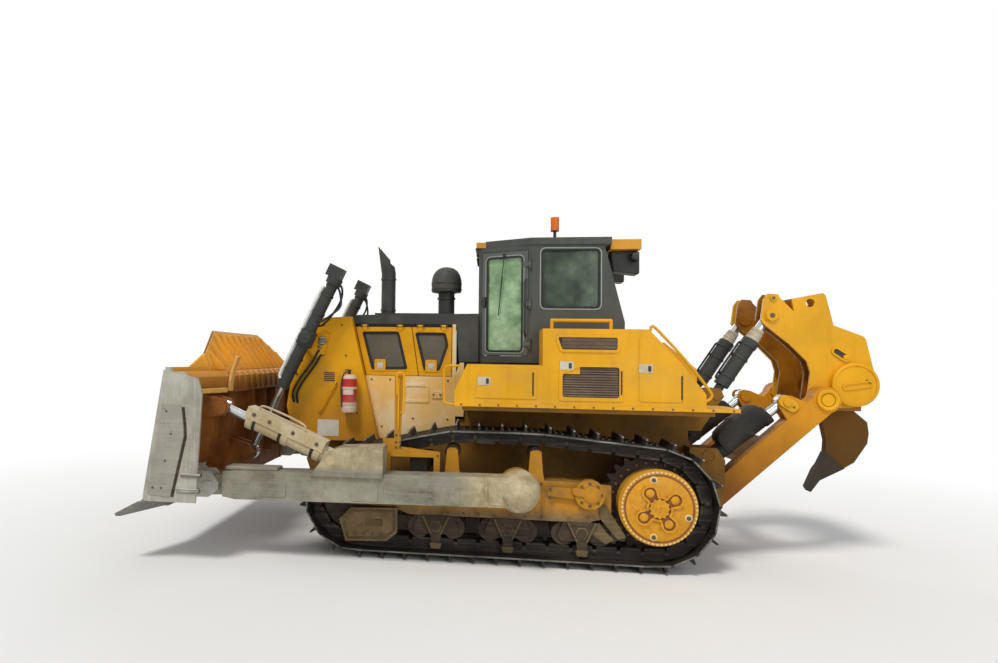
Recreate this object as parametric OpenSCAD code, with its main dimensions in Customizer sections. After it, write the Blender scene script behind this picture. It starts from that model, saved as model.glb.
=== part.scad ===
// Large track-type bulldozer with a semi-U blade and a single-shank ripper.
// X runs forward, Y to the driver's left and Z up. Stations along X are measured from the sprocket
// centre, and the whole machine is then moved so that the origin lies under the middle of its length.

/* [Undercarriage] */
// Distance between the two track centre lines
track_gauge = 2260; // [2200:10:2400]
// Width of a track shoe
shoe_width = 610; // [560:10:660]
// Distance between track pins
track_pitch = 260; // [240:5:280]
// Height of a grouser above its shoe plate
grouser_h = 80; // [50:5:100]
// Thickness of a shoe plate
shoe_t = 20; // [14:1:26]
// Height of a track link rail above the pin line
rail_h = 72; // [60:2:80]
// Distance from the pin line out to the shoe plate
pin_h = 68; // [60:2:80]
// Sprocket pitch circle radius
sprocket_r = 564; // [540:2:590]
// Idler pitch circle radius
idler_r = 500; // [470:5:520]
// Idler centre ahead of the sprocket centre
wheelbase = 3400; // [3300:10:3550]
// Width of a track frame beam
frame_w = 400; // [340:10:440]
// Radius of a track roller
roller_r = 130; // [110:2:140]

/* [Blade] */
// Half of the blade's width over its end plates
blade_half_w = 2160; // [2050:10:2300]
// Angle of the blade's wings
wing_angle = 20; // [10:1:25]
// Half of the straight middle part of the blade
blade_mid_half = 1480; // [1380:10:1520]
// Radius of the moldboard's curve
moldboard_r = 1580; // [1500:10:1700]
// Height of the blade's lower edge beam above the ground
blade_low_z = 690; // [660:5:720]
// Height of the moldboard's top edge above the ground
blade_top_z = 2190; // [2160:5:2240]
// Height of the spill guard's top edge above the ground
spill_top_z = 2640; // [2500:10:2750]

/* [Push arms] */
// Depth of a push arm
arm_h = 320; // [280:10:340]
// Width of a push arm
arm_w = 280; // [240:10:300]
// Radius of the trunnion that a push arm swings on
trunnion_r = 110; // [90:5:130]

/* [Hood and nose] */
// Half of the hood's width
hood_half_w = 610; // [560:10:640]
// Half of the nose's width
nose_half_w = 740; // [700:5:760]
// Height of the hood's top
hood_top_z = 2880; // [2840:10:2920]
// Thickness of the hood's panels and doors
panel_t = 50; // [40:2:60]

/* [Cab] */
// Half of the cab's width at the door post
cab_half_w = 850; // [820:5:860]
// Half of the cab's width at its front
cab_front_half_w = 540; // [480:10:600]
// Height of the cab floor
cab_floor_z = 2290; // [2270:5:2310]
// Height of the underside of the roof
cab_roof_z = 3740; // [3700:10:3780]
// Thickness of the cab's walls and doors
cab_wall = 60; // [50:2:70]
// Thickness of the window glass
glass_t = 12; // [8:1:16]

/* [Fenders] */
// Outer side of the fender boxes
box_outer_y = 1430; // [1400:5:1440]
// Inner side of the fender boxes
box_inner_y = 890; // [880:5:920]
// Thickness of the fender plate
fender_t = 40; // [30:2:50]

/* [Ripper] */
// Middle of a ripper link and of its lift cylinder
link_y = 650; // [630:5:670]
// Width of a ripper link
link_w = 220; // [200:5:230]
// Middle of a ripper tilt cylinder
tilt_y = 430; // [420:2:440]
// Thickness of the shank
shank_t = 110; // [90:5:120]
// Radius of the pulling eye in the tool carrier
pull_eye_r = 50; // [40:2:60]

/* [Fits] */
// Radial clearance of a pin in its bore
pin_gap = 0.05; // [0.02:0.01:0.09]
// Gap between pieces that seat against each other
seat_gap = 0.3; // [0.2:0.1:0.6]
// Side clearance between moving pieces
side_gap = 8; // [6:1:12]

/* [Hidden] */
$fn = 48;

// Paint and material colours
yellow = "#E8A51C";
dusty = "#A9A48E";
dark = "#3A3D3E";
black = "#1B1B1A";
iron = "#2E2A27";
chrome = "#D4D6D8";
glass = "#9CC0A4";

// Sprocket centre, measured from the origin
sprocket_x = -1589.03;

// Levels of the undercarriage
pin_line_z = grouser_h + shoe_t + pin_h;
sprocket_z = pin_line_z + sprocket_r;
idler_z = pin_line_z + idler_r;
track_y = track_gauge / 2;
rail_z = pin_line_z + rail_h;
frame_in_y = track_y - frame_w / 2;
frame_out_y = track_y + frame_w / 2;
frame_low_z = 510;
frame_top_z = 960;
carrier_x = [wheelbase - 1140, 1310];
carrier_pin_r = 182;
carrier_z = 1238;
carrier_r = 88;
frame_front_x = wheelbase - 475;
bogie_rear_x = 800;
bogie_run = frame_front_x - 485 - bogie_rear_x;
bogie_gaps = floor(bogie_run / 800);
bogie_x = [for (i = [bogie_gaps : -1 : 0]) bogie_rear_x + i * bogie_run / bogie_gaps];
roller_reach = 200;
link_pin_r = 70;
cyl_pin_r = 50;
hull_half_w = hood_half_w - panel_t;
fender_z = 1790;

// Pivots, as [station, height]
trunnion = [1520, 900];
arm_tip = [5030, 830];
tilt_base = [3590, 1180];
tilt_eye = [4900, 1730];
yoke = [4128, 2563];
lift_eye = [4820, 1120];
link_base = [-720, 700];
carrier_pin = [-2020, 1920];
ripper_lift_base = [-760, 1190];
ripper_lift_eye = [-1580, 1880];
ripper_tilt_base = [-880, 1930];
ripper_tilt_eye = [-1505, 2910];

arm_y = track_y + shoe_width / 2 + 125 + arm_w / 2;
lift_y = nose_half_w + 210;

// A side outline (station, height) made into a plate between two Y levels
module side_plate(points, y0, y1)
    translate([0, y1, 0]) rotate([90, 0, 0]) linear_extrude(height = y1 - y0) polygon(points);

// A round bar across the machine
module cross_rod(at, r, y0, y1)
    translate([at[0], y0, at[1]]) rotate([-90, 0, 0]) cylinder(r = r, h = y1 - y0);

// A box between two corners
module block(low, high)
    translate(low) cube([high[0] - low[0], high[1] - low[1], high[2] - low[2]]);

// A round bar between two points
module rod(p, q, r) {
    d = q - p;
    translate(p) rotate([0, acos(d[2] / norm(d)), atan2(d[1], d[0])]) cylinder(r = r, h = norm(d),
        $fn = 24);
}

// A rail of round bars through a list of points, with round corners
module rail(points, r) {
    for (i = [0 : len(points) - 2]) rod(points[i], points[i + 1], r);
    for (i = [1 : len(points) - 2]) translate(points[i]) sphere(r = r, $fn = 24);
}

module left_right() {
    children();
    mirror([0, 1, 0]) children();
}

module on_side(side) {
    if (side > 0) children();
    else mirror([0, 1, 0]) children();
}

// Children are drawn along +X from the origin, and end up along the line from p to q in a side view
module along(p, q, y) {
    translate([p[0], y, p[1]]) rotate([0, -atan2(q[1] - p[1], q[0] - p[0]), 0]) children();
}

// A round bar along +X
module x_rod(x0, x1, r) translate([x0, 0, 0]) rotate([0, 90, 0]) cylinder(r = r, h = x1 - x0);

// An eye across the machine at a station along +X
module x_eye(x, r, w) translate([x, w / 2, 0]) rotate([90, 0, 0]) cylinder(r = r, h = w);

function span(p, q) = norm(q - p);

// The track's pin line: a belt round the sprocket, the idler and the two carrier rollers.
// Each wheel is [station, height, radius].
wheels = [[0, sprocket_z, sprocket_r], [wheelbase, idler_z, idler_r],
    [carrier_x[0], carrier_z, carrier_pin_r], [carrier_x[1], carrier_z, carrier_pin_r]];
function wheel(i) = wheels[i % len(wheels)];
function flat(w) = [w[0], w[1]];
function gap(i) = norm(flat(wheel(i + 1)) - flat(wheel(i)));
function heading(i) = atan2(wheel(i + 1)[1] - wheel(i)[1], wheel(i + 1)[0] - wheel(i)[0])
    + asin((wheel(i)[2] - wheel(i + 1)[2]) / gap(i));
function straight(i) = sqrt(pow(gap(i), 2) - pow(wheel(i)[2] - wheel(i + 1)[2], 2));
function turn(i) = (heading(i) - heading(i + len(wheels) - 1) + 720) % 360;
function arc(i) = wheel(i)[2] * turn(i) * PI / 180;
function outward(h) = [sin(h), -cos(h)];
function ahead(h) = [cos(h), sin(h)];
function leave(i) = flat(wheel(i)) + wheel(i)[2] * outward(heading(i));
function pin_at(s, i = 0) =
    s <= straight(i) ? leave(i) + s * ahead(heading(i)) :
    s - straight(i) <= arc(i + 1) ? flat(wheel(i + 1)) + wheel(i + 1)[2]
        * outward(heading(i) + (s - straight(i)) / wheel(i + 1)[2] * 180 / PI) :
    pin_at(s - straight(i) - arc(i + 1), i + 1);
function total(i = 0) = i == len(wheels) ? 0 : straight(i) + arc(i + 1) + total(i + 1);
loop_len = total();
links = round(loop_len / track_pitch);
pins = [for (k = [0 : links - 1]) pin_at((k + 0.5) * loop_len / links)];

// A point of link k: share a of its length from its middle, and b outwards from its pin line
function on_link(k, a, b) =
    let (p = pins[k], q = pins[(k + 1) % links], t = (q - p) / norm(q - p))
    (p + q) / 2 + a * (q - p) + b * [t[1], -t[0]];

shoe_outer = pin_h + shoe_t;
module shoe_band() {
    outer = [for (k = [0 : links - 1]) each [
        on_link(k, -0.48, shoe_outer), on_link(k, -0.36, shoe_outer),
        on_link(k, -0.34, shoe_outer + grouser_h), on_link(k, -0.27, shoe_outer + grouser_h),
        on_link(k, -0.23, shoe_outer), on_link(k, 0.49, shoe_outer)]];
    inner = [for (k = [0 : links - 1]) each [on_link(k, -0.49, pin_h), on_link(k, 0.49, pin_h)]];
    ring(outer, inner);
}

module link_strand() {
    outer = [for (k = [0 : links - 1]) on_link(k, 0, pin_h + shoe_t / 2)];
    inner = [for (k = [0 : links - 1]) each [
        on_link(k, -0.40, -rail_h / 2), on_link(k, -0.36, -rail_h),
        on_link(k, 0.36, -rail_h), on_link(k, 0.40, -rail_h / 2)]];
    ring(outer, inner);
}

module ring(outer, inner)
    polygon(concat(outer, inner), [[for (i = [0 : len(outer) - 1]) i],
        [for (i = [0 : len(inner) - 1]) len(outer) + i]]);

module across(y0, y1) translate([0, y1, 0]) rotate([90, 0, 0]) linear_extrude(height = y1 - y0) children();

link_in = 60;
link_out = 140;
module track(side) color(iron) on_side(side) {
    across(track_y - shoe_width / 2, track_y + shoe_width / 2) shoe_band();
    for (s = [-1, 1])
        across(track_y + (s > 0 ? link_in : -link_out),
            track_y + (s > 0 ? link_out : -link_in)) link_strand();
}

// Wheels of the undercarriage
idler_tread_r = sqrt(pow(idler_r, 2) - pow(track_pitch / 2, 2)) - rail_h - 8;
module idlers() color(dark) left_right() difference() {
    translate([wheelbase, track_y, idler_z]) rotate([90, 0, 0]) rotate_extrude()
        polygon([[60 + seat_gap, -110], [idler_tread_r, -110], [idler_tread_r, -50],
            [idler_tread_r + 40, -40],
            [idler_tread_r + 40, 40], [idler_tread_r, 50], [idler_tread_r, 110], [60 + seat_gap, 110]]);
}

teeth = 27;
tooth_r = sprocket_r + 20;
root_r = sprocket_r - 45;
hub_r = 400;
module sprockets() color(yellow) left_right()
    across(track_y - 45, track_y + 45) difference() {
        polygon([for (i = [0 : teeth - 1]) each [for (c = [[0.02, root_r], [0.28, tooth_r], [0.44, tooth_r],
            [0.70, root_r]]) c[1] * ahead((i + c[0]) * 360 / teeth) + [0, sprocket_z]]]);
        translate([0, sprocket_z]) circle(r = hub_r + seat_gap);
    }

cover_y = track_y + shoe_width / 2 + 15;
module final_drives() color(yellow) left_right() {
    cross_rod([0, sprocket_z], hub_r, hull_half_w + 235, cover_y);
    cross_rod([0, sprocket_z], hub_r + 18, cover_y - 60, cover_y - 20);
    cross_rod([0, sprocket_z], 95, cover_y, cover_y + 28);
    for (a = [20 : 90 : 290]) {
        c = [0, sprocket_z] + 150 * ahead(a);
        cross_rod(c, 62, cover_y, cover_y + 28);
        side_plate([for (o = [[95, 45], [155, 45], [155, -45], [95, -45]])
            [0, sprocket_z] + o[0] * ahead(a) + (o[1] - 0) * outward(a)], cover_y, cover_y + 28);
    }
}

// One track roller on its shaft
module track_roller(x) {
    translate([x, track_y, rail_z + roller_r + seat_gap]) rotate([90, 0, 0]) rotate_extrude()
        polygon([[0, -190], [50, -190], [50, -160], [roller_r, -160], [roller_r, -48], [roller_r - 25, -40],
            [roller_r - 25, 40], [roller_r, 48], [roller_r, 160], [50, 160], [50, 190], [0, 190]]);
}

bogie_z = rail_z + roller_r + seat_gap;
module bogie(x) {
    for (dx = [-roller_reach, roller_reach]) track_roller(x + dx);
    for (y = [[track_y - 196, track_y - 170], [track_y + 170, track_y + 196]])
        side_plate([[x - 265, bogie_z - 20], [x - 200, frame_low_z], [x + 200, frame_low_z],
            [x + 265, bogie_z - 20], [x + 225, bogie_z - 75], [x - 225, bogie_z - 75]], y[0], y[1]);
    side_plate([[x - 165, frame_low_z], [x + 165, frame_low_z], [x + 62, bogie_z - 75], [x + 42,
        rail_z - 110],
        [x - 42, rail_z - 110], [x - 62, bogie_z - 75]], track_y + 196, track_y + 222);
    block([x - 120, track_y - 170, frame_low_z - 70], [x + 120, track_y + 170, frame_low_z]);
    cross_rod([x, bogie_z + 20], 55, track_y + 200, track_y + 238);
}

module bogies() color(iron) left_right() for (x = bogie_x) bogie(x);

module carrier_rollers() color(iron) left_right() for (x = carrier_x)
    translate([x, 0, carrier_z]) rotate([-90, 0, 0]) {
        for (y = [-125, 52]) translate([0, 0, track_y + y]) cylinder(r = carrier_r, h = 73);
        translate([0, 0, track_y - 60]) cylinder(r = carrier_r - 20, h = 120);
        translate([0, 0, track_y]) cylinder(r = 40, h = frame_w / 2 - 62);
    }

// Track frame: beam, idler fork and guard, carrier brackets, trunnion and climbing step
step_y = track_y + shoe_width / 2 + 15;
module track_frames() color(yellow) left_right() {
    side_plate([[620, frame_low_z + 90], [620, frame_top_z - 20], [1000, frame_top_z],
        [frame_front_x - 125, frame_top_z],
        [frame_front_x, frame_top_z - 90], [frame_front_x, frame_low_z + 60], [frame_front_x - 165,
            frame_low_z],
        [700, frame_low_z]],
        frame_in_y, frame_out_y);
    side_plate([[480, frame_low_z + 70], [480, frame_top_z - 30], [720, frame_top_z - 10], [720,
        frame_low_z + 10]],
        frame_out_y - 45, frame_out_y);
    for (y = [track_y - 170, track_y + 128])
        side_plate([[frame_front_x - 15, idler_z - 90], [frame_front_x - 15, idler_z + 90],
            [wheelbase + 60, idler_z + 75],
            [wheelbase + 95, idler_z], [wheelbase + 60, idler_z - 75]], y, y + 42);
    cross_rod([wheelbase, idler_z], 60, track_y - 160, track_y + 160);
    side_plate([[wheelbase + 180, 420], [wheelbase + 40, 560], [frame_front_x - 35, 580],
        [frame_front_x - 35, 290], [frame_front_x + 95, 190],
        [wheelbase + 100, 170]], frame_out_y + 5, frame_out_y + 35);
    block([frame_front_x - 35, frame_out_y - 30, 520], [frame_front_x, frame_out_y + 10, 575]);
    for (x = carrier_x) difference() {
        side_plate([[x - 105, frame_top_z - 40], [x - 80, frame_top_z + 90], [x - 62, carrier_z + 40],
            [x - 30, carrier_z + 62], [x + 30, carrier_z + 62], [x + 62, carrier_z + 40],
            [x + 80, frame_top_z + 90], [x + 105, frame_top_z - 40]], frame_out_y - 62, frame_out_y - 2);
    }
    cross_rod(trunnion, trunnion_r + 90, frame_out_y - 10, frame_out_y + 90);
    cross_rod(trunnion, trunnion_r, frame_out_y, arm_y + arm_w / 2);
    cross_rod([720, 835], 165, frame_out_y - 10, frame_out_y + 70);
    side_plate([[720, 760], [1180, 800], [1180, 900], [720, 900]], frame_out_y - 10, frame_out_y + 45);
    step();
}

// Climbing step with its window, standing outside the track on a shelf of the track frame
module step() {
    translate([frame_front_x, 0, 0]) {
        block([-505, frame_out_y - 20, frame_top_z - 30], [115, step_y + 25, frame_top_z]);
        difference() {
            side_plate([[-530, frame_top_z - 30], [130, frame_top_z - 30], [130, 1400], [0, 1400],
                [-55, 1310],
                [-530, 1260]], step_y, step_y + 25);
            side_plate([[-460, frame_top_z + 50], [45, frame_top_z + 50], [45, 1195], [-460, 1195]],
                step_y - 1, step_y + 26);
        }
        side_plate([[0, 1400], [0, 2130], [-95, 2130], [-75, 1330], [-55, 1310]], step_y, step_y + 25);
    }
}

// Hull with its transmission case, drive cases and pivot shafts
hull_rear_x = -545;
slot_x = [frame_front_x - 385, frame_front_x - 145];
slot_z = [frame_top_z - 10, frame_top_z + 210];
module main_frame() color(yellow) difference() {
    union() {
        side_plate([[hull_rear_x, 640], [hull_rear_x, fender_z], [2150, fender_z], [2150, 1560], [3200,
            1560], [3200, 1250],
            [4000, 1250], [4200, 1000], [4100, 720], [3300, 560], [-500, 560]], -hull_half_w, hull_half_w);
        block([300, -cab_front_half_w, fender_z - 10], [1950, cab_front_half_w, cab_floor_z]);
        left_right() {
            cross_rod([0, sprocket_z], 330, hull_half_w - 10, hull_half_w + 235);
            cross_rod([700, 720], 110, hull_half_w - 10, frame_in_y);
            ripper_cheek();
            tilt_bracket();
        }
        block([-600, -box_outer_y + 30, fender_z - 50], [2150, box_outer_y - 30, fender_z]);
    }
    block([slot_x[0], -hull_half_w - 1, slot_z[0]], [slot_x[1], hull_half_w + 1, slot_z[1]]);
}

// Rear cheek plates with the pins of the ripper's links and lift cylinders
cheek_t = 45;
cheek_y = [link_y - link_w / 2 - side_gap, link_y + link_w / 2 + side_gap];
module ripper_cheek() {
    for (y = [cheek_y[0] - cheek_t, cheek_y[1]])
        side_plate([[hull_rear_x + 25, 570], [hull_rear_x + 25, 1330], [-800, 1330], [-890, 1190],
            [-860, 640], [-780, 570]], y, y + cheek_t);
    block([hull_rear_x, hull_half_w - 100, 571], [hull_rear_x + 50, cheek_y[1] + cheek_t, 1329]);
    cross_rod(link_base, link_pin_r, cheek_y[0] - cheek_t - 12, cheek_y[1] + cheek_t - 5);
    cross_rod(ripper_lift_base, cyl_pin_r, cheek_y[0] - cheek_t - 12, cheek_y[1] + cheek_t - 5);
}

// Upper rear plates with the pin of a ripper tilt cylinder
tilt_eye_w = 110;
module tilt_bracket() {
    for (s = [-1, 1]) {
        y = tilt_y + s * (tilt_eye_w / 2 + side_gap + 20);
        side_plate([[hull_rear_x + 15, 1500], [hull_rear_x + 15, fender_z - 20], [-562, fender_z - 20],
            [-562, fender_z + 160],
            [-820, 2030], [-930, 2010], [-970, 1920], [-900, 1830],
            [-700, 1500]], y - 20, y + 20);
    }
    cross_rod(ripper_tilt_base, cyl_pin_r, tilt_y - tilt_eye_w / 2 - side_gap - 48,
        tilt_y + tilt_eye_w / 2 + side_gap + 48);
}

module equalizer_bar() color(dark)
    block([slot_x[0] + 20, -frame_out_y + 60, frame_top_z], [slot_x[1] - 20, frame_out_y - 60,
        frame_top_z + 180]);

module engine() color(dark) block([2420, -430, 1560], [3190, 430, 2560]);

// Nose: radiator guard with its grille, lift cylinder yokes and lower valance
nose_outline = [[3600, 2850], [4040, 2830], [4280, 2650], [4430, 1690], [4380, 1500], [3990, 1262],
    [3225, 1270]];
grille_half_w = 520;
module nose() color(yellow) difference() {
    union() {
        difference() {
            side_plate(nose_outline, -nose_half_w, nose_half_w);
            block([4180, -grille_half_w, 1560], [4600, grille_half_w, 2560]);
        }
        for (z = [1620 : 100 : 2520]) side_plate([[4170, z], [4255, z + 25], [4255, z + 45], [4170,
            z + 20]],
            -grille_half_w - 5, grille_half_w + 5);
        for (y = [-260, 0, 260]) block([4170, y - 20, 1550], [4270, y + 20, 2570]);
        left_right() {
            cross_rod(yoke, 120, nose_half_w - 10, lift_y - 118);
            side_plate([[yoke[0] - 260, yoke[1] + 60], [yoke[0] + 60, yoke[1] + 100], [yoke[0] + 90,
                yoke[1] - 60],
                [yoke[0] - 60, yoke[1] - 260], [yoke[0] - 200, yoke[1] - 200]], nose_half_w - 5,
                    nose_half_w + 50);
        }
        block([3300, -hull_half_w + 20, 1250], [3990, hull_half_w - 20, 1290]);
    }
    left_right() cross_rod(yoke, cyl_pin_r + pin_gap, nose_half_w + 10, lift_y);
}

// Hood: dark top cover, yellow lower sides with door posts, and top-hinged doors
// The hood's front edge follows the nose's rear edge
nose_heel = nose_outline[6];
function seam_x(z) = nose_heel[0] - seat_gap
    + (z - nose_heel[1]) * (nose_outline[0][0] - nose_heel[0]) / (nose_outline[0][1] - nose_heel[1]);
hood_rear_x = 2265;
door_top_z = 2725;
door_low_z = 2105;
door_split_x = [2830, 2735];
door_gap = 6;
hinge_r = 9;
hinge_z = door_top_z + 16;
hinge_y = hood_half_w + 10;
cover_low_z = door_top_z + 40;
front_hinges = [3440, 2980];
rear_hinges = [2720, 2420];
// Ears and pin of one door hinge on the hood's top cover
module hinge_ears(x) {
    for (s = [-1, 1]) block([x + s * 42 - 10, hood_half_w - 12, hinge_z - 12], [x + s * 42 + 10,
        hinge_y + 13, cover_low_z + 12]);
    translate([x - 52, hinge_y, hinge_z]) rotate([0, 90, 0]) cylinder(r = hinge_r, h = 104);
}
// Knuckle of one door hinge on its door
module hinge_knuckle(x) difference() {
    union() {
        block([x - 28, hood_half_w - 12, door_top_z - 40], [x + 28, hood_half_w + 12, hinge_z]);
        translate([x - 28, hinge_y, hinge_z]) rotate([0, 90, 0]) cylinder(r = hinge_r + 6, h = 56);
    }
    translate([x - 40, hinge_y, hinge_z]) rotate([0, 90, 0]) cylinder(r = hinge_r + pin_gap, h = 80);
}
module hood_top() color(dark) difference() {
    union() {
        side_plate([[seam_x(cover_low_z), cover_low_z], [seam_x(2848), 2848], [3540, hood_top_z],
            [cab_front_x, hood_top_z + 25],
            [cab_front_x, cab_floor_z], [2225, cab_floor_z], [hood_rear_x - 5, cover_low_z]],
                -hood_half_w, hood_half_w);
        left_right() for (x = concat(front_hinges, rear_hinges)) hinge_ears(x);
        block([2300, -180, hood_top_z - 20], [3350, 380, hood_top_z + 40]);
    }
    block([2310, -hood_half_w + panel_t, 2500], [seam_x(door_top_z) - 60, hood_half_w - panel_t,
        hood_top_z - panel_t]);
}

module engine_sides() color(yellow) left_right() {
    side_plate([[seam_x(door_low_z - door_gap), door_low_z - door_gap], [hood_rear_x,
        door_low_z - door_gap],
        [hood_rear_x, 1480], [2300, 1450], [seam_x(1290), 1290]], hood_half_w - panel_t, hood_half_w);
    side_plate([[hood_rear_x, door_low_z - door_gap - 10], [hood_rear_x + 45, door_low_z - door_gap - 10],
        [hood_rear_x + 45, cover_low_z], [hood_rear_x, cover_low_z]], hood_half_w - panel_t, hood_half_w);
    side_plate([[2160, 1600], [2160, cab_floor_z - 10], [2210, cab_floor_z - 10], [hood_rear_x + 20, 2085],
        [hood_rear_x + 20, 1600]], hood_half_w - panel_t + 4, hood_half_w - 4);
}

// Door outline between two slanted edges, from its top edge to its low edge
function door_outline(front, rear) = [[front[0], door_top_z], [rear[0], door_top_z],
    [rear[1], door_low_z], [front[1], door_low_z]];
front_door = [[seam_x(door_top_z) - 12, seam_x(door_low_z) - 12], [door_split_x[0] + 5,
    door_split_x[1] + 5]];
rear_door = [[door_split_x[0] - 5, door_split_x[1] - 5], [hood_rear_x + 55, hood_rear_x + 55]];
module engine_door(side, edges, window, hinges) color(yellow) on_side(side) {
    difference() {
        side_plate(door_outline(edges[0], edges[1]), hood_half_w - panel_t, hood_half_w);
        side_plate(window, hood_half_w - 25, hood_half_w + 1);
    }
    for (x = hinges) hinge_knuckle(x);
}
front_window = [[3480, 2665], [2995, 2670], [2875, 2180], [3345, 2170]];
rear_window = [[2790, 2660], [2395, 2660], [2355, 2500], [2465, 2170], [2670, 2165]];

// Fuel tank behind the cab
module rear_tank() color(yellow) {
    side_plate([[200, fender_z], [200, 2560], [-200, 2560], [-560, 2250], [-560, fender_z]],
        -box_inner_y + 20, box_inner_y - 20);
}

// Fender boxes
box_outline = [[2240, 1960], [2100, 2270], [1250, 2270], [1250, 2690], [100, 2690], [-250, 2310],
    [-500, 1980],
    [-500, fender_z + 10], [2240, fender_z + 10]];
module side_box(side) color(yellow) on_side(side) {
    difference() {
        side_plate(box_outline, box_inner_y, box_outer_y);
        side_plate([[1040, 2585], [445, 2585], [445, 2515], [1000, 2515]], box_outer_y - 60,
            box_outer_y + 1);
        side_plate([[840, 2270], [415, 2270], [415, 1920], [1030, 1920], [1030, 2180], [840, 2180]],
            box_outer_y - 60, box_outer_y + 1);
    }
    for (z = [1935 : 42 : 2240])
        side_plate([[414, z], [z > 2150 ? 841 : 1031, z], [z > 2150 ? 841 : 1031, z + 12], [414, z + 12]],
            box_outer_y - 61, box_outer_y - 12);
    block([-850, box_inner_y, fender_z], [2235, box_outer_y + 8, fender_z + fender_t]);
}

// Cab: six-sided room with windows cut in its walls
cab_rear_x = 240;
cab_post_x = 1340;
cab_front_x = 1985;
function cab_plan(inset) = [[cab_rear_x + inset, -cab_half_w + 40 + inset], [cab_post_x,
    -cab_half_w + inset],
    [cab_front_x - inset, -cab_front_half_w + inset], [cab_front_x - inset, cab_front_half_w - inset],
    [cab_post_x, cab_half_w - inset], [cab_rear_x + inset, cab_half_w - 40 - inset]];
door_angle = atan2(cab_half_w - cab_front_half_w, cab_front_x - cab_post_x);
door_wall = norm([cab_front_x - cab_post_x, cab_half_w - cab_front_half_w]);
// Children are drawn along +X from the door post, with +Y outwards
module at_door_wall() translate([cab_post_x, cab_half_w, 0]) rotate([0, 0, -door_angle]) children();
door_margin = 45;
door_z = [cab_floor_z + 85, cab_roof_z - 60];
rear_lean_z = 2800;
rear_lean = 240;
function rear_x(z) = cab_rear_x + rear_lean * max(0, z - rear_lean_z) / (cab_roof_z - rear_lean_z);
module cab_room(inset) intersection() {
    translate([0, 0, cab_floor_z - 100]) linear_extrude(height = cab_roof_z - cab_floor_z + 300)
        polygon(cab_plan(inset));
    side_plate([[cab_rear_x + inset, cab_floor_z + (inset > 0 ? 50 : 0)], [cab_rear_x + inset, rear_lean_z],
        [rear_x(cab_roof_z) + inset, cab_roof_z], [rear_x(cab_roof_z) + inset, cab_roof_z + inset],
        [cab_front_x - inset, cab_roof_z + inset], [cab_front_x - inset,
            cab_floor_z + (inset > 0 ? 50 : 0)]],
        -cab_half_w - 10, cab_half_w + 10);
}
side_window = [[540, 2975], [1215, 3675]];
rear_window_z = [2850, 3640];
rear_window_half = 560;
front_window_z = [2480, 3660];
front_window_half = cab_front_half_w - 110;
door_hinge_z = [door_z[0] + 150, door_z[0] + 640, door_z[0] + 1130];
door_hinge = [20, 16];
door_pin_r = 10;
module cab_shell() color(dark) {
    difference() {
        cab_room(0);
        cab_room(cab_wall);
        left_right() {
            at_door_wall() block([door_margin, -400, door_z[0]], [door_wall - door_margin, 200, door_z[1]]);
            block([side_window[0][0], 600, side_window[0][1]], [side_window[1][0], 1000,
                side_window[1][1]]);
        }
        block([cab_rear_x - 100, -rear_window_half, rear_window_z[0]], [cab_rear_x + 500,
            rear_window_half, rear_window_z[1]]);
        block([cab_front_x - 200, -front_window_half, front_window_z[0]],
            [cab_front_x + 100, front_window_half, front_window_z[1]]);
    }
    left_right() at_door_wall() for (z = door_hinge_z) {
        for (s = [-1, 1]) translate([0, 0, z + s * 46]) {
            block([-4, -6, -14], [door_hinge[0], door_hinge[1] + 8, 14]);
            translate([door_hinge[0], door_hinge[1], -14]) cylinder(r = door_pin_r + 8, h = 28);
        }
        translate([door_hinge[0], door_hinge[1], z - 60]) cylinder(r = door_pin_r, h = 120);
    }
}

module cab_glass() color(glass) {
    left_right() block([side_window[0][0], cab_half_w - 60, side_window[0][1]],
        [side_window[1][0], cab_half_w - 60 + glass_t, side_window[1][1]]);
    block([cab_front_x - 40, -front_window_half, front_window_z[0]],
        [cab_front_x - 40 + glass_t, front_window_half, front_window_z[1]]);
    side_plate([[rear_x(rear_window_z[0]) + 20, rear_window_z[0]], [rear_x(rear_window_z[1]) + 20,
        rear_window_z[1]],
        [rear_x(rear_window_z[1]) + 20 + glass_t, rear_window_z[1]],
            [rear_x(rear_window_z[0]) + 20 + glass_t, rear_window_z[0]]],
        -rear_window_half, rear_window_half);
}

module cab_door(side) color(dark) on_side(side) at_door_wall() difference() {
    union() {
        block([door_margin + door_gap, -cab_wall + 5, door_z[0] + door_gap],
            [door_wall - door_margin - door_gap, 0, door_z[1] - door_gap]);
        for (z = door_hinge_z) translate([0, 0, z]) {
            block([door_hinge[0], -2, -28], [door_margin + 70, door_hinge[1] - 2, 28]);
            translate([door_hinge[0], door_hinge[1], -28]) cylinder(r = door_pin_r + 6, h = 56);
        }
    }
    block([door_margin + 80, -cab_wall, door_z[0] + 60], [door_wall - door_margin - 80, 10,
        door_z[1] - 80]);
    for (z = door_hinge_z) translate([door_hinge[0], door_hinge[1],
        z - 40]) cylinder(r = door_pin_r + pin_gap, h = 80);
    block([-20, -cab_wall, 0], [door_margin + door_gap, 0, 5000]);
}

module door_glass(side) color(glass) on_side(side) at_door_wall()
    block([door_margin + 80 + seat_gap, -35, door_z[0] + 60 + seat_gap],
        [door_wall - door_margin - 80 - seat_gap, -35 + glass_t, door_z[1] - 80 - seat_gap]);

module cab_roof() color(dark) {
    translate([0, 0, cab_roof_z]) linear_extrude(height = 85) polygon([[400, -cab_half_w - 10],
        [cab_post_x, -cab_half_w - 10], [1900, -cab_front_half_w - 30], [1900, cab_front_half_w + 30],
        [cab_post_x, cab_half_w + 10], [400, cab_half_w + 10]]);
}

module roof_visors() color(yellow) {
    block([40, -760, 3690], [400, 760, 3810]);
    left_right() block([1900, cab_front_half_w - 230, cab_roof_z + 5], [2020, cab_front_half_w + 30,
        cab_roof_z + 75]);
}

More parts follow.
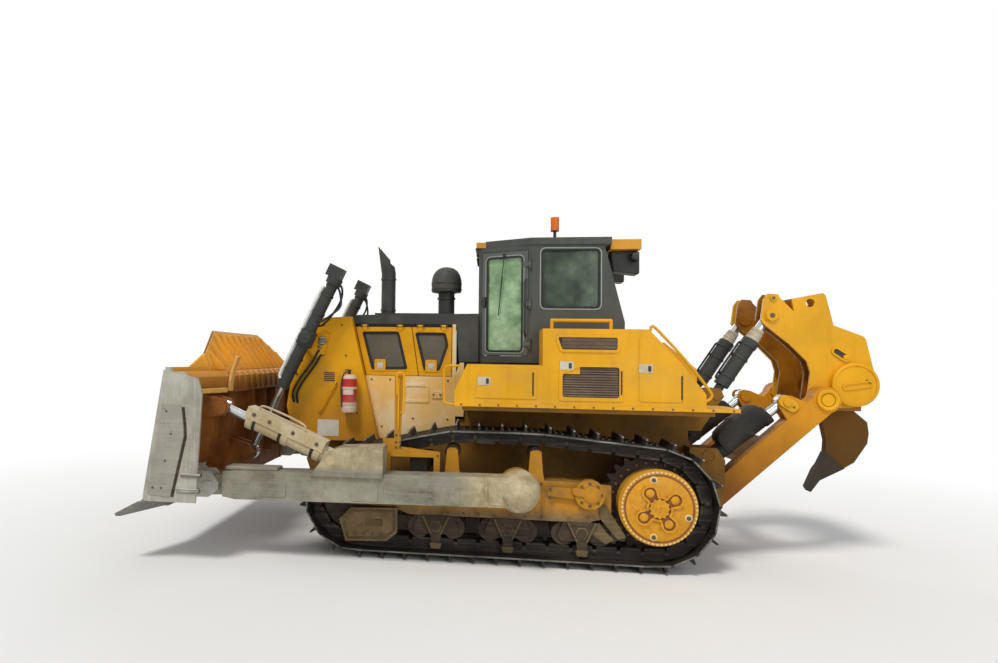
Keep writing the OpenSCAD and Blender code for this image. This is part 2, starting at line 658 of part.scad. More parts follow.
module seat() color(black) {
    block([700, -260, cab_floor_z + 50], [1180, 260, cab_floor_z + 480]);
    block([600, -260, cab_floor_z + 300], [700, 260, cab_floor_z + 1050]);
}

module consoles() color(dark) {
    block([1700, -300, cab_floor_z + 50], [1880, 300, cab_floor_z + 620]);
    left_right() block([650, 330, cab_floor_z + 50], [1200, 480, cab_floor_z + 560]);
}

module exhaust_stack() color(dark) translate([3190, 250, hood_top_z + 40]) {
    cylinder(r = 95, h = 560);
    difference() {
        translate([0, 0, 540]) rotate([0, 8, 0]) cylinder(r = 93, h = 310);
        side_plate([[-200, 520], [220, 890], [220, 1100], [-200, 1100]], -200, 200);
    }
}

module air_precleaner() color(dark) translate([2430, -60, hood_top_z + 40]) {
    cylinder(r = 110, h = 310);
    rotate_extrude() polygon([[0, 300], [130, 300], [188, 335], [200, 385], [200, 440], [182, 500],
        [130, 540], [0, 550]]);
}

module beacon() color("#E0701A") translate([1020, 300, cab_roof_z + 85]) {
    cylinder(r = 20, h = 180);
    translate([0, 0, 170]) cylinder(r = 55, h = 180);
}

module handrails() color(yellow) left_right() {
    rail([[1140, 1300, 2690 + seat_gap], [1140, 1300, 2790], [485, 1300, 2790], [485, 1300,
        2690 + seat_gap]], 20);
}

module fire_extinguisher() color("#B3202A") translate([3590, nose_half_w + 95 + seat_gap,
    1640]) cylinder(r = 95, h = 420);

// Push arms
module push_arm(side) color(dusty) on_side(side) difference() {
    union() {
        side_plate([[trunnion[0] + 60, trunnion[1] - arm_h / 2], [4700, 855 - arm_h / 2], [4850,
            880 - arm_h / 2],
            [4850, 845 + arm_h / 2], [4700, 860 + arm_h / 2], [trunnion[0] + 60, trunnion[1] + arm_h / 2]],
            arm_y - arm_w / 2, arm_y + arm_w / 2);
        translate([trunnion[0], arm_y, trunnion[1]]) sphere(r = 235);
        cross_rod(arm_tip, tongue_r, arm_y - 60, arm_y + 60);
        side_plate([[4800, 730], [arm_tip[0], arm_tip[1] - tongue_r], [arm_tip[0],
            arm_tip[1] + tongue_r], [4800, 960]],
            arm_y - 60, arm_y + 60);
        for (s = [-1, 1]) side_plate([[2998, 1000], [2998, 1346], [3500, 1320], [3650, 1260], [3700, 1160],
            [3821, 1000]], arm_y + s * 150 - 18, arm_y + s * 150 + 18);
        side_plate([[2998, 900], [2998, 1346], [3300, 1330], [3300, 900]], arm_y - 137, arm_y + 137);
    }
    cross_rod(trunnion, trunnion_r + pin_gap, 0, arm_y + arm_w / 2 + 5);
    cross_rod(arm_tip, tip_pin_r + pin_gap, arm_y - 300, arm_y + 300);
    cross_rod(tilt_base, cyl_pin_r + pin_gap, arm_y - 300, arm_y + 300);
}
tongue_r = 112;
tip_pin_r = 60;

// Tilt cylinders, drawn from their base pin
tilt_len = span(tilt_base, tilt_eye);
rod_r = 55;
eye_w = 100;
module tilt_barrel(side) color(dusty) on_side(side) along(tilt_base, tilt_eye, arm_y) difference() {
    union() {
        x_eye(0, 85, 2 * (132 - side_gap));
        x_rod(20, tilt_len - 330, 100);
        for (x = [150, 560, tilt_len - 400]) x_rod(x, x + 70, 112);
        block([130, -118, 20], [tilt_len - 300, 118, 150]);
        x_eye(0, cyl_pin_r, 340);
    }
    x_rod(160, tilt_len, rod_r + pin_gap);
}

module tilt_rod(side) color(chrome) on_side(side) along(tilt_base, tilt_eye, arm_y) {
    x_rod(tilt_len - 800, tilt_len, rod_r);
    x_eye(tilt_len, 85, eye_w);
}

// Lift cylinders, drawn from the blade's eye up
lift_top = 2440;
lift_low = 905;
lift_r = 76;
lift_rod_r = 42;
lift_yoke_at = span(lift_eye, yoke);
module lift_barrel(side) color(dark) on_side(side) along(lift_eye, yoke, lift_y) difference() {
    union() {
        x_rod(lift_low, lift_top, lift_r);
        x_rod(lift_top - 90, lift_top + 4, 100);
        x_rod(lift_yoke_at - 100, lift_yoke_at + 100, 108);
        translate([lift_yoke_at, -60, 0]) rotate([90, 0, 0]) cylinder(r = cyl_pin_r,
            h = lift_y - nose_half_w - 90);
        block([lift_top - 10, -92, -125], [lift_top + 140, 92, 70]);
    }
    x_rod(0, lift_top - 55, lift_rod_r + pin_gap);
}

module lift_rod(side) color(chrome) on_side(side) along(lift_eye, yoke, lift_y) {
    x_rod(0, 1790, lift_rod_r);
    x_eye(0, 95, eye_w);
}

// Blade: a moldboard curve carried along a straight middle and two angled wings
blade_face_x = 5110;
curve_at = [blade_face_x + moldboard_r, 1650];
function curve_x(z, r) = curve_at[0] - sqrt(r * r - pow(z - curve_at[1], 2));
plate_t = 50;
// Profiles of the blade's strips. A wing's profile is drawn in by e, so that its faces don't fall on
// those of the middle.
function moldboard_profile(n, e) = concat(
    [for (i = [0 : n]) let (z = blade_low_z + e + i * (blade_top_z - blade_low_z - 2 * e) / n)
        [curve_x(z, moldboard_r), z]],
    [for (i = [n : -1 : 0]) let (z = blade_low_z + e + i * (blade_top_z - blade_low_z - 2 * e) / n)
        [curve_x(z, moldboard_r + plate_t), z]]);
beam_back_x = 5170;
beam_top_z = 1010;
function lower_beam(e) = [[beam_back_x + e, blade_low_z + 5 + e], [beam_back_x + e, beam_top_z - e],
    [curve_x(beam_top_z - e, moldboard_r + plate_t / 2), beam_top_z - e],
    [curve_x(blade_low_z + 5 + e, moldboard_r + plate_t / 2), blade_low_z + 5 + e]];
function upper_beam(e) = [[4950 + e, 1880 + e], [4950 + e, 2080 - 2 * e], [5010 + e, 2140 - e],
    [curve_x(2140 - e, moldboard_r + plate_t / 2), 2140 - e], [curve_x(1880 + e,
        moldboard_r + plate_t / 2), 1880 + e]];
function spill_profile(e) = [[curve_x(blade_top_z, moldboard_r) - plate_t + e, blade_top_z - 20 - e],
    [curve_x(blade_top_z, moldboard_r) - plate_t / 2 - e, blade_top_z - 20 - e], [5420 - e,
        spill_top_z + e],
    [5390 + e, spill_top_z + e]];
function edge_profile(e) = [[curve_x(blade_low_z, moldboard_r + plate_t) + e, blade_low_z - e],
    [curve_x(blade_low_z, moldboard_r) + 10 - e, blade_low_z - e], [5700 - e, 545 - e], [5690 - e,
        515 + e], [5640 + e, 515 + e]];
wing_in = 0.5;
bend_x = 5200;
// Station of a wing's face at a distance from the middle, where the straight part's is x
function wing_x(x, y) = x + max(0, y - blade_mid_half) * tan(wing_angle);

// Carries a side profile along the middle and both wings, out to half_w. The strips run past the bend
// into each other.
bend_lap = 60;
module semi_u(middle, wing, half_w) {
    side_plate(middle, -blade_mid_half - bend_lap, blade_mid_half + bend_lap);
    left_right() difference() {
        translate([bend_x, blade_mid_half, 0]) rotate([0, 0, -wing_angle]) translate([-bend_x,
            -blade_mid_half, 0])
            side_plate(wing, blade_mid_half - bend_lap - 3, half_w + 300);
        block([4000, half_w, 0], [7000, half_w + 1500, 4000]);
    }
}

// The end plates stand in from the ends of the cutting edge by this much
end_in = 14;
spill_low_half = 1850;
spill_high_half = 870;
module moldboard() color(yellow) difference() {
    union() {
        semi_u(moldboard_profile(14, 0), moldboard_profile(13, wing_in), blade_half_w - end_in - 15);
        semi_u(lower_beam(0), lower_beam(wing_in), blade_half_w - end_in - 16);
        semi_u(upper_beam(0), upper_beam(wing_in), blade_half_w - end_in - 17);
        blade_rib(0);
        intersection() {
            semi_u(spill_profile(0), spill_profile(wing_in), blade_half_w - end_in - 18);
            translate([4000, 0, 0]) rotate([90, 0, 90]) linear_extrude(height = 3000)
                polygon([[-spill_low_half, blade_top_z - 20], [spill_low_half, blade_top_z - 20],
                    [spill_high_half, spill_top_z], [-spill_high_half, spill_top_z]]);
        }
        left_right() {
            side_plate([[5660, 740], [5450, 2160], [5040, 2070], [4990, 1890], [5040, blade_low_z + 5],
                [5640, blade_low_z + 5]],
                blade_half_w - end_in - 30, blade_half_w - end_in);
            for (s = [-1, 1]) {
                lug([[wing_x(5195, arm_y + s * 94), 700], [5030, 700], [4910, 790], [4910, 870], [5030,
                    1000],
                    [wing_x(5180, arm_y + s * 94), 1000]], arm_y, s, 60 + side_gap, 52);
                lug([[wing_x(5088, arm_y + s * 89), 1600], [4860, 1640], [4810, 1730], [4850, 1820],
                    [wing_x(5088, arm_y + s * 89), 1900]], arm_y, s, eye_w / 2 + side_gap + 6, 50);
                lug([[5170, 960], [4820, 1020], [4725, 1120], [4820, 1220], [5150, 1320]], lift_y, s,
                    eye_w / 2 + side_gap + 6, 50);
                cross_rod(tilt_eye, 75, arm_y + s * 129 - 20, arm_y + s * 129 + 20);
                cross_rod(lift_eye, 80, lift_y + s * 129 - 20, lift_y + s * 129 + 20);
            }
            for (y = [blade_mid_half * 0.325, blade_mid_half - 90]) blade_rib(y);
            cross_rod(arm_tip, tip_pin_r, arm_y - 135, arm_y + 135);
        }
    }
}

// Upright rib between the moldboard's two back beams
module blade_rib(y) side_plate(concat([[5010, 950], [4960, 1250], [4960, 1950]],
    [for (z = [1950 : -100 : 950]) [curve_x(z, moldboard_r + plate_t / 2), z]]), y - 12, y + 12);

// One of a pair of lugs, off to one side of a middle line
module lug(points, y, s, half_gap, t) side_plate(points, y + (s > 0 ? half_gap : -half_gap - t),
    y + (s > 0 ? half_gap + t : -half_gap));

module cutting_edge() color(dusty) semi_u(edge_profile(0), edge_profile(wing_in), blade_half_w);

// Ripper: a pair of links joined by a cross beam, swinging on the hull's cheeks
link_len = span(link_base, carrier_pin);
module ripper_links() color(yellow) difference() {
    union() {
        left_right() {
            along(link_base, carrier_pin, link_y) {
                x_eye(0, 150, link_w);
                x_eye(link_len, 150, link_w);
                block([0, -link_w / 2 + 3, -120], [link_len, link_w / 2 - 3, 138]);
            }
            for (s = [-1, 1]) {
                along(link_base, carrier_pin, link_y) lug([[1300, -100], [1342, -290], [1385, -352],
                    [1480, -352], [1530, -290],
                    [1610, -100]], 0, s, eye_w / 2 + side_gap, link_w / 2 - eye_w / 2 - side_gap - 7);
                cross_rod(ripper_lift_eye, 65, link_y + s * (link_w / 2 + 4) - 14,
                    link_y + s * (link_w / 2 + 4) + 14);
            }
        }
        along(link_base, carrier_pin, 0) block([650, -link_y, -100], [1000, link_y, 80]);
    }
    left_right() {
        cross_rod(link_base, link_pin_r + pin_gap, link_y - 300, link_y + 300);
        cross_rod(carrier_pin, link_pin_r + pin_gap, link_y - 300, link_y + 300);
    }
}

// Tool carrier: two pairs of plates on a round cross tube, with a pocket for the shank
carrier_outline = [[-1467, 3172], [-1581, 3164], [-1605, 3119], [-1757, 2956], [-1733, 3111], [-2077,
    3181], [-2108, 3155],
    [-2193, 2795], [-2514, 2669], [-2545, 2627], [-2612, 2322], [-2665, 2104], [-2560, 1900], [-2382,
        1826], [-2005, 1798],
    [-1895, 1924], [-1936, 2225], [-1897, 2362], [-1706, 2565], [-1417, 2805], [-1385, 2858], [-1418,
        3102]];
carrier_t = 32;
carrier_out = link_y - link_w / 2 - side_gap;
tube_at = [-2400, 2096];
tube_r = 262;
pull_eye = [-1939, 3061];
shank_outline = [[-2250, 1705], [-2316, 1380], [-2306, 1235], [-2514, 1043], [-2632, 1120], [-2783,
    1359], [-2801, 1486],
    [-2785, 1621], [-2640, 1750], [-2640, 2200], [-2290, 2200]];
module ripper_carrier() color(yellow) difference() {
    union() {
        left_right() {
            side_plate(carrier_outline, carrier_out - carrier_t, carrier_out);
            side_plate(carrier_outline, tilt_y - tilt_eye_w / 2 - side_gap - carrier_t,
                tilt_y - tilt_eye_w / 2 - side_gap);
            cross_rod(carrier_pin, link_pin_r, carrier_out - carrier_t, link_y + link_w / 2 + 20);
            for (y = [carrier_out, tilt_y - tilt_eye_w / 2 - side_gap - carrier_t])
                cross_rod(ripper_tilt_eye, 85, y - 14, y + 14);
        }
        cross_rod(tube_at, tube_r - 8, -carrier_out - 60, carrier_out + 60);
        side_plate([[-2680, 1760], [-2690, 2300], [-2230, 2300], [-2230, 1760]], -130, 130);
    }
    side_plate(shank_outline, -shank_t / 2, shank_t / 2);
    cross_rod(pull_eye, pull_eye_r, -1000, 1000);
}

module ripper_shank() color(dusty) side_plate(shank_outline, -shank_t / 2, shank_t / 2);

// Point under the shank's nose
module ripper_point() color(dark) side_plate([[-2306, 1235], [-2238, 1087], [-2187, 1012], [-2093,
    790], [-2125, 739],
    [-2229, 887], [-2514, 1043]], -shank_t / 2 - 20, shank_t / 2 + 20);

// Ripper cylinders, drawn from their base pin
ripper_lift_len = span(ripper_lift_base, ripper_lift_eye);
ripper_tilt_len = span(ripper_tilt_base, ripper_tilt_eye);
// Past this distance from its base pin a barrel has its full radius
neck_end = 160;
module ripper_barrel(length, r, w) difference() {
    union() {
        x_eye(0, 90, w);
        x_rod(20, neck_end, min(w / 2, r) - 2);
        x_rod(neck_end - 10, length, r);
        x_rod(length - 90, length, r + 10);
    }
    x_eye(0, cyl_pin_r + pin_gap, w + 20);
    x_rod(neck_end + 30, length + 10, rod_r + pin_gap);
}
module ripper_rod(start, length) {
    x_rod(start, length, rod_r);
    x_eye(length, 85, eye_w);
}
module ripper_lift_barrel(side) color(black) on_side(side)
    along(ripper_lift_base, ripper_lift_eye, link_y) ripper_barrel(840, 100, link_w - 10);
module ripper_lift_rod(side) color(chrome) on_side(side)
    along(ripper_lift_base, ripper_lift_eye, link_y) ripper_rod(320, ripper_lift_len);
module ripper_tilt_barrel(side) color(dark) on_side(side)
    along(ripper_tilt_base, ripper_tilt_eye, tilt_y) ripper_barrel(800, 90, tilt_eye_w);
module ripper_tilt_rod(side) color(chrome) on_side(side)
    along(ripper_tilt_base, ripper_tilt_eye, tilt_y) ripper_rod(420, ripper_tilt_len);

// The whole machine, moved so that the origin is under the middle of its length
module placed() translate([sprocket_x, 0, 0]) children();

placed() main_frame();
placed() equalizer_bar();
placed() engine();
placed() nose();
placed() hood_top();
placed() engine_sides();
placed() rear_tank();
placed() side_box(1);  // side_box_left
placed() side_box(-1);  // side_box_right
placed() cab_shell();
placed() cab_roof();
placed() roof_visors();
placed() cab_glass();
placed() seat();
placed() consoles();
placed() track_frames();
placed() track(1);  // track_left
placed() track(-1);  // track_right
placed() idlers();
placed() sprockets();
placed() final_drives();
placed() bogies();
placed() carrier_rollers();
placed() exhaust_stack();
placed() air_precleaner();
placed() beacon();
placed() handrails();
placed() fire_extinguisher();
placed() push_arm(1);  // push_arm_left
placed() push_arm(-1);  // push_arm_right
placed() moldboard();
placed() cutting_edge();
placed() lift_barrel(1);  // lift_barrel_left
placed() lift_barrel(-1);  // lift_barrel_right
placed() lift_rod(1);  // lift_rod_left
placed() lift_rod(-1);  // lift_rod_right
placed() tilt_barrel(1);  // tilt_barrel_left
placed() tilt_barrel(-1);  // tilt_barrel_right
placed() tilt_rod(1);  // tilt_rod_left
placed() tilt_rod(-1);  // tilt_rod_right
placed() ripper_links();
placed() ripper_carrier();
placed() ripper_shank();
placed() ripper_point();
placed() ripper_lift_barrel(1);  // ripper_lift_barrel_left
placed() ripper_lift_barrel(-1);  // ripper_lift_barrel_right
placed() ripper_lift_rod(1);  // ripper_lift_rod_left
placed() ripper_lift_rod(-1);  // ripper_lift_rod_right
placed() ripper_tilt_barrel(1);  // ripper_tilt_barrel_left
placed() ripper_tilt_barrel(-1);  // ripper_tilt_barrel_right
placed() ripper_tilt_rod(1);  // ripper_tilt_rod_left
placed() ripper_tilt_rod(-1);  // ripper_tilt_rod_right
placed() cab_door(1);  // cab_door_left
placed() cab_door(-1);  // cab_door_right
placed() door_glass(1);  // door_glass_left
placed() door_glass(-1);  // door_glass_right
placed() engine_door(1, front_door,  // front_engine_door_left
    front_window, front_hinges);
placed() engine_door(-1, front_door,  // front_engine_door_right
    front_window, front_hinges);
placed() engine_door(1, rear_door, rear_window,  // rear_engine_door_left
    rear_hinges);
placed() engine_door(-1, rear_door, rear_window,  // rear_engine_door_right
    rear_hinges);
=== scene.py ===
"""Dresses the bulldozer: finishes for its CAD pieces, its small fittings, the floor, the light and the
camera."""
import math
import bpy
import numpy as np
from mathutils import Matrix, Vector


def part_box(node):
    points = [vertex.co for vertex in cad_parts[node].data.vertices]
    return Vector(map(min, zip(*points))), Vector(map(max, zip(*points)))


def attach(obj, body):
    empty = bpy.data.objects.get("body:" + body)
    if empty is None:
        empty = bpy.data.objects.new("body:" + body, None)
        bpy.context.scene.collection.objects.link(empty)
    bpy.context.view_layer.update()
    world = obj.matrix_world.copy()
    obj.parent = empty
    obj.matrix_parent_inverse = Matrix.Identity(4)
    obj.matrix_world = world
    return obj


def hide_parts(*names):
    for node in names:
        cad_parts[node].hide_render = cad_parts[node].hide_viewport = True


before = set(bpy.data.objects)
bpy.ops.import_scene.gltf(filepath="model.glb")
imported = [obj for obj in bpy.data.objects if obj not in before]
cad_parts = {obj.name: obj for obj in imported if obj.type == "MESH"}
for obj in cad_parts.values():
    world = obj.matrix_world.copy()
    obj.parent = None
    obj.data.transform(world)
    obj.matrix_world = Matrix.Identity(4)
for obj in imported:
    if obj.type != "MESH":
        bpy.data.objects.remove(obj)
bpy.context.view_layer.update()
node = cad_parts
drive_low, drive_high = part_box("final_drives")
SPROCKET_X = float(drive_low[0] + drive_high[0]) / 2
SPROCKET_Z = 0.732
TAU = 2 * math.pi
SIDEWAYS, UPWARD = (0, 1, 0), (0, 0, 1)


def at(x, y, z):
    """A point given by its station ahead of the sprocket, its side and its height."""
    return np.array([x + SPROCKET_X, y, z], float)


def linear(code):
    """A paint code such as d79a26 as linear red, green and blue."""
    c = np.array([int(code[i:i + 2], 16) for i in (0, 2, 4)]) / 255
    return tuple(np.where(c <= 0.04045, c / 12.92, ((c + 0.055) / 1.055) ** 2.4))


# Finishes


class Shader:
    """A material's node tree, built one node at a time."""

    def __init__(self, name):
        self.mat = bpy.data.materials.new(name)
        self.mat.use_nodes = True
        self.tree = self.mat.node_tree
        self.bsdf = self.tree.nodes["Principled BSDF"]
        self.place = self.add("ShaderNodeTexCoord").outputs["Object"]

    def add(self, kind, **inputs):
        n = self.tree.nodes.new(kind)
        for k, v in inputs.items():
            self.feed(n.inputs[k.replace("_", " ")], v)
        return n

    def feed(self, socket, value):
        if isinstance(value, bpy.types.NodeSocket):
            self.tree.links.new(value, socket)
        elif socket.type == "RGBA":
            socket.default_value = (*value, 1.0) if len(value) == 3 else value
        else:
            socket.default_value = value

    def math(self, op, a, b=0.0, clamp=False):
        n = self.tree.nodes.new("ShaderNodeMath")
        n.operation, n.use_clamp = op, clamp
        self.feed(n.inputs[0], a)
        self.feed(n.inputs[1], b)
        return n.outputs[0]

    def noise(self, scale, detail=4.0, rough=0.55, stretch=None):
        where = self.place
        if stretch:
            m = self.tree.nodes.new("ShaderNodeMapping")
            m.inputs["Scale"].default_value = stretch
            self.feed(m.inputs["Vector"], self.place)
            where = m.outputs[0]
        n = self.add("ShaderNodeTexNoise", Vector=where, Scale=scale, Detail=detail, Roughness=rough)
        return n.outputs[0]

    def band(self, value, low, high, out_low=0.0, out_high=1.0):
        """Straight ramp of value from low to high, held at both ends."""
        n = self.tree.nodes.new("ShaderNodeMapRange")
        self.feed(n.inputs["Value"], value)
        for key, v in zip(("From Min", "From Max", "To Min", "To Max"), (low, high, out_low, out_high)):
            n.inputs[key].default_value = v
        return n.outputs[0]

    def mix(self, factor, a, b):
        n = self.tree.nodes.new("ShaderNodeMix")
        n.data_type = "RGBA"
        self.feed(n.inputs[0], factor)
        self.feed(n.inputs[6], a)
        self.feed(n.inputs[7], b)
        return n.outputs[2]

    def axis(self, letter):
        """One coordinate of the surface, in metres."""
        return self.add("ShaderNodeSeparateXYZ", Vector=self.place).outputs[letter]

    def facing(self, letter):
        """One coordinate of the surface's own normal."""
        g = self.tree.nodes.new("ShaderNodeTexCoord")
        return self.add("ShaderNodeSeparateXYZ", Vector=g.outputs["Normal"]).outputs[letter]

    def within(self, value, low, high, soft=0.003):
        """1 where a value lies between low and high, 0 elsewhere."""
        return self.math("MULTIPLY", self.band(value, low - soft, low + soft),
                         self.band(value, high - soft, high + soft, 1, 0))

    def bump(self, value, depth, distance=0.01):
        n = self.add("ShaderNodeBump", Height=value, Strength=depth, Distance=distance)
        self.feed(self.bsdf.inputs["Normal"], n.outputs[0])

    def done(self, colour, rough, metal=0.0):
        self.feed(self.bsdf.inputs["Base Color"], colour)
        self.feed(self.bsdf.inputs["Roughness"], rough)
        self.feed(self.bsdf.inputs["Metallic"], metal)
        return self.mat


RUST = linear("4a3220")


def paint(name, code, dust=0.35, dust_below=1.6, chips=0.3, rough=0.42, dust_code="a8946c", chip_code="5b4a32",
          areas=None):
    """Coat of paint: two tones of the colour, dust that thickens on upward faces and towards the ground, chips
    and streaks. Areas is a function that lays other colours over parts of the coat."""
    s = Shader(name)
    base = linear(code)
    tone = s.band(s.noise(1.7, 5), 0.35, 0.68)
    colour = s.mix(tone, tuple(np.array(base) * 0.86), tuple(np.minimum(np.array(base) * 1.10, 1)))
    streak = s.band(s.noise(9, 4, 0.6, (1, 1, 0.12)), 0.52, 0.78, 0, 0.35)
    colour = s.mix(streak, colour, tuple(np.array(base) * 0.62))
    colour = areas(s, colour) if areas else colour
    fine = s.noise(22, 6, 0.7)
    patch = s.noise(2.6, 6, 0.62)
    low = s.band(s.axis("Z"), dust_below - 0.9, dust_below + 0.9, 0.55, 0.0)
    flat = s.band(s.facing("Z"), 0.3, 0.95, 0.0, 0.5)
    amount = s.math("ADD", s.math("ADD", low, flat), s.band(patch, 0.42, 0.72, -0.25, 0.45))
    amount = s.math("MULTIPLY", s.math("MULTIPLY", amount, s.band(fine, 0.3, 0.62, 0.45, 1.0)), dust * 2.0,
                    True)
    colour = s.mix(amount, colour, linear(dust_code))
    chip = s.band(s.math("ADD", s.noise(46, 3, 0.6), s.band(patch, 0.35, 0.75, -0.08, 0.08)), 0.69, 0.72, 0,
                  chips)
    colour = s.mix(chip, colour, linear(chip_code))
    s.bump(s.math("ADD", s.math("MULTIPLY", fine, 0.35), s.math("MULTIPLY", amount, 0.5)), 0.10, 0.006)
    s.bsdf.inputs["Specular IOR Level"].default_value = 0.22
    return s.done(colour,
                  s.math("ADD", s.band(amount, 0, 1, rough, 0.88), s.math("MULTIPLY", streak, 0.15), True))


def worn_steel(name, code, bright="8d8c86", dark="4c4a43", scratch=0.5, rough=0.62, metal=0.25, areas=None):
    """Bare plate scoured by soil: mottled dust over darker steel, with scratches along the machine and rusty
    pits. Areas is a function that lays other colours over parts of it."""
    s = Shader(name)
    patch = s.band(s.noise(2.1, 7, 0.66), 0.34, 0.66)
    colour = s.mix(patch, linear(dark), linear(code))
    lines = s.band(s.noise(34, 3, 0.6, (0.06, 1, 1)), 0.50, 0.68, 0, scratch)
    colour = s.mix(lines, colour, linear(bright))
    colour = areas(s, colour) if areas else colour
    pits = s.band(s.noise(15, 6, 0.7), 0.60, 0.75, 0, 0.55)
    colour = s.mix(pits, colour, RUST)
    fine = s.noise(60, 4, 0.7)
    s.bump(s.math("ADD", fine, s.math("MULTIPLY", patch, 0.8)), 0.22, 0.006)
    return s.done(colour, s.band(s.math("ADD", lines, pits), 0, 1, rough + 0.12, rough - 0.12), metal)


def plain(name, code, rough=0.5, metal=0.0, vary=0.14, scale=18, bump=0.08):
    """Even material with a light mottle and a fine grain."""
    s = Shader(name)
    base = np.array(linear(code))
    f = s.noise(scale, 5, 0.6)
    colour = s.mix(s.band(f, 0.3, 0.7), tuple(base * (1 - vary)), tuple(np.minimum(base * (1 + vary), 1)))
    s.bump(s.noise(scale * 6, 3), bump, 0.003)
    return s.done(colour, s.band(f, 0.3, 0.7, max(rough - 0.06, 0.03), rough + 0.08), metal)


def pane(name, code, alpha=0.45, haze_and_reflection="aeb59a"):
    """Tinted glass mottled towards a second colour: a film of dust on the side panes, a pale painted reflection
    on the door panes.
    """
    s = Shader(name)
    film = s.band(s.noise(3.2, 6, 0.62), 0.40, 0.72)
    colour = s.mix(film, linear(code), linear(haze_and_reflection))
    s.feed(s.bsdf.inputs["Alpha"], s.band(film, 0, 1, alpha, alpha + 0.22))
    s.bsdf.inputs["IOR"].default_value = 1.5
    return s.done(colour, s.band(film, 0, 1, 0.05, 0.30))


def box_recess_shade(s, colour):
    """Painted shade: dark brown on a fender box's side face behind the louvres and the vent, where their rooms
    fall into shade.
    """
    deep = s.band(s.math("ABSOLUTE", s.axis("Y")), 1.4210, 1.4225, 1, 0)
    x, z = s.axis("X"), s.axis("Z")
    room = s.math("MULTIPLY", s.within(x, 0.412 + SPROCKET_X, 1.034 + SPROCKET_X), s.within(z, 1.917, 2.273))
    vent = s.math("MULTIPLY", s.within(x, 0.442 + SPROCKET_X, 1.043 + SPROCKET_X), s.within(z, 2.512, 2.588))
    return s.mix(s.math("MULTIPLY", s.math("MAXIMUM", room, vent), deep), colour, linear("2a1d10"))


def beacon_lens(s, colour):
    """Amber head on a dark stem."""
    return s.mix(s.band(s.axis("Z"), 4.003, 4.006), linear("33322f"), colour)


def bottle_band(s, colour):
    """Pale lower part of the bottle and a bare pale patch on its outer side."""
    bare_patch = s.math("MULTIPLY", s.within(s.axis("Z"), 1.86, 1.95), s.band(s.facing("Y"), 0.70, 0.75))
    return s.mix(s.math("MAXIMUM", bare_patch, s.within(s.axis("Z"), 1.62, 1.76)), colour, linear("d9c7b6"))


def drive_stain_and_shade(s, colour):
    """Brown in patches over the final drive's face, heaviest near its middle: partly stain, partly painted
    shade round the recesses of its lobed cap.
    """
    x, z = s.math("SUBTRACT", s.axis("X"), SPROCKET_X), s.math("SUBTRACT", s.axis("Z"), SPROCKET_Z)
    r = s.math("SQRT", s.math("ADD", s.math("MULTIPLY", x, x), s.math("MULTIPLY", z, z)))
    blot = s.band(s.noise(16, 6, 0.7), 0.46, 0.66)
    return s.mix(s.math("MULTIPLY", blot, s.band(r, 0.10, 0.36, 0.75, 0.25)), colour, linear("96600f"))


def nose_shade(s, colour):
    """Painted shade: a browner, darker colour laid low on the nose."""
    return s.mix(s.band(s.axis("Z"), 1.45, 2.0, 0.55, 0.0), colour, linear("a4600c"))


def links_browner_low(s, colour):
    """Brown laid on more thickly towards the links' lower ends."""
    return s.mix(s.band(s.axis("Z"), 0.75, 1.75, 0.85, 0.0), colour, linear("74420c"))


def inner_painted_shade(s, colour):
    """Painted shade: mottled browns on what stands between the carrier's outer plates."""
    return s.mix(s.within(s.axis("Y"), -0.495, 0.495, 0.004), colour,
                 s.mix(s.band(s.noise(3, 5), 0.35, 0.7), linear("7a480e"), linear("a86c14")))


def frame_mud(s, colour):
    """Grey mud with a ragged edge low on the track frames."""
    height = s.math("ADD", s.axis("Z"), s.math("MULTIPLY", s.noise(3.2, 5, 0.65), 0.24))
    mud = s.mix(s.band(s.noise(6, 6, 0.7), 0.36, 0.66), linear("544838"), linear("85775c"))
    return s.mix(s.band(height, 0.66, 0.80, 0.85, 0), colour, mud)


def arm_earth(s, colour):
    """Pale earth with a ragged edge on the push arms' rear ends and on their tilt brackets."""
    ragged = s.math("MULTIPLY", s.noise(2.6, 5, 0.65), 0.9)
    x = s.axis("X")
    rear = s.band(s.math("ADD", x, ragged), 0.80, 1.20, 0.85, 0)
    bracket = s.math("MULTIPLY", s.band(s.axis("Z"), 1.05, 1.12, 0, 0.7), s.band(x, 1.30, 1.36))
    earth = s.mix(s.band(s.noise(5.5, 6, 0.7), 0.36, 0.66), linear("95835c"), linear("c8ba96"))
    return s.mix(s.math("MAXIMUM", rear, bracket), colour, earth)


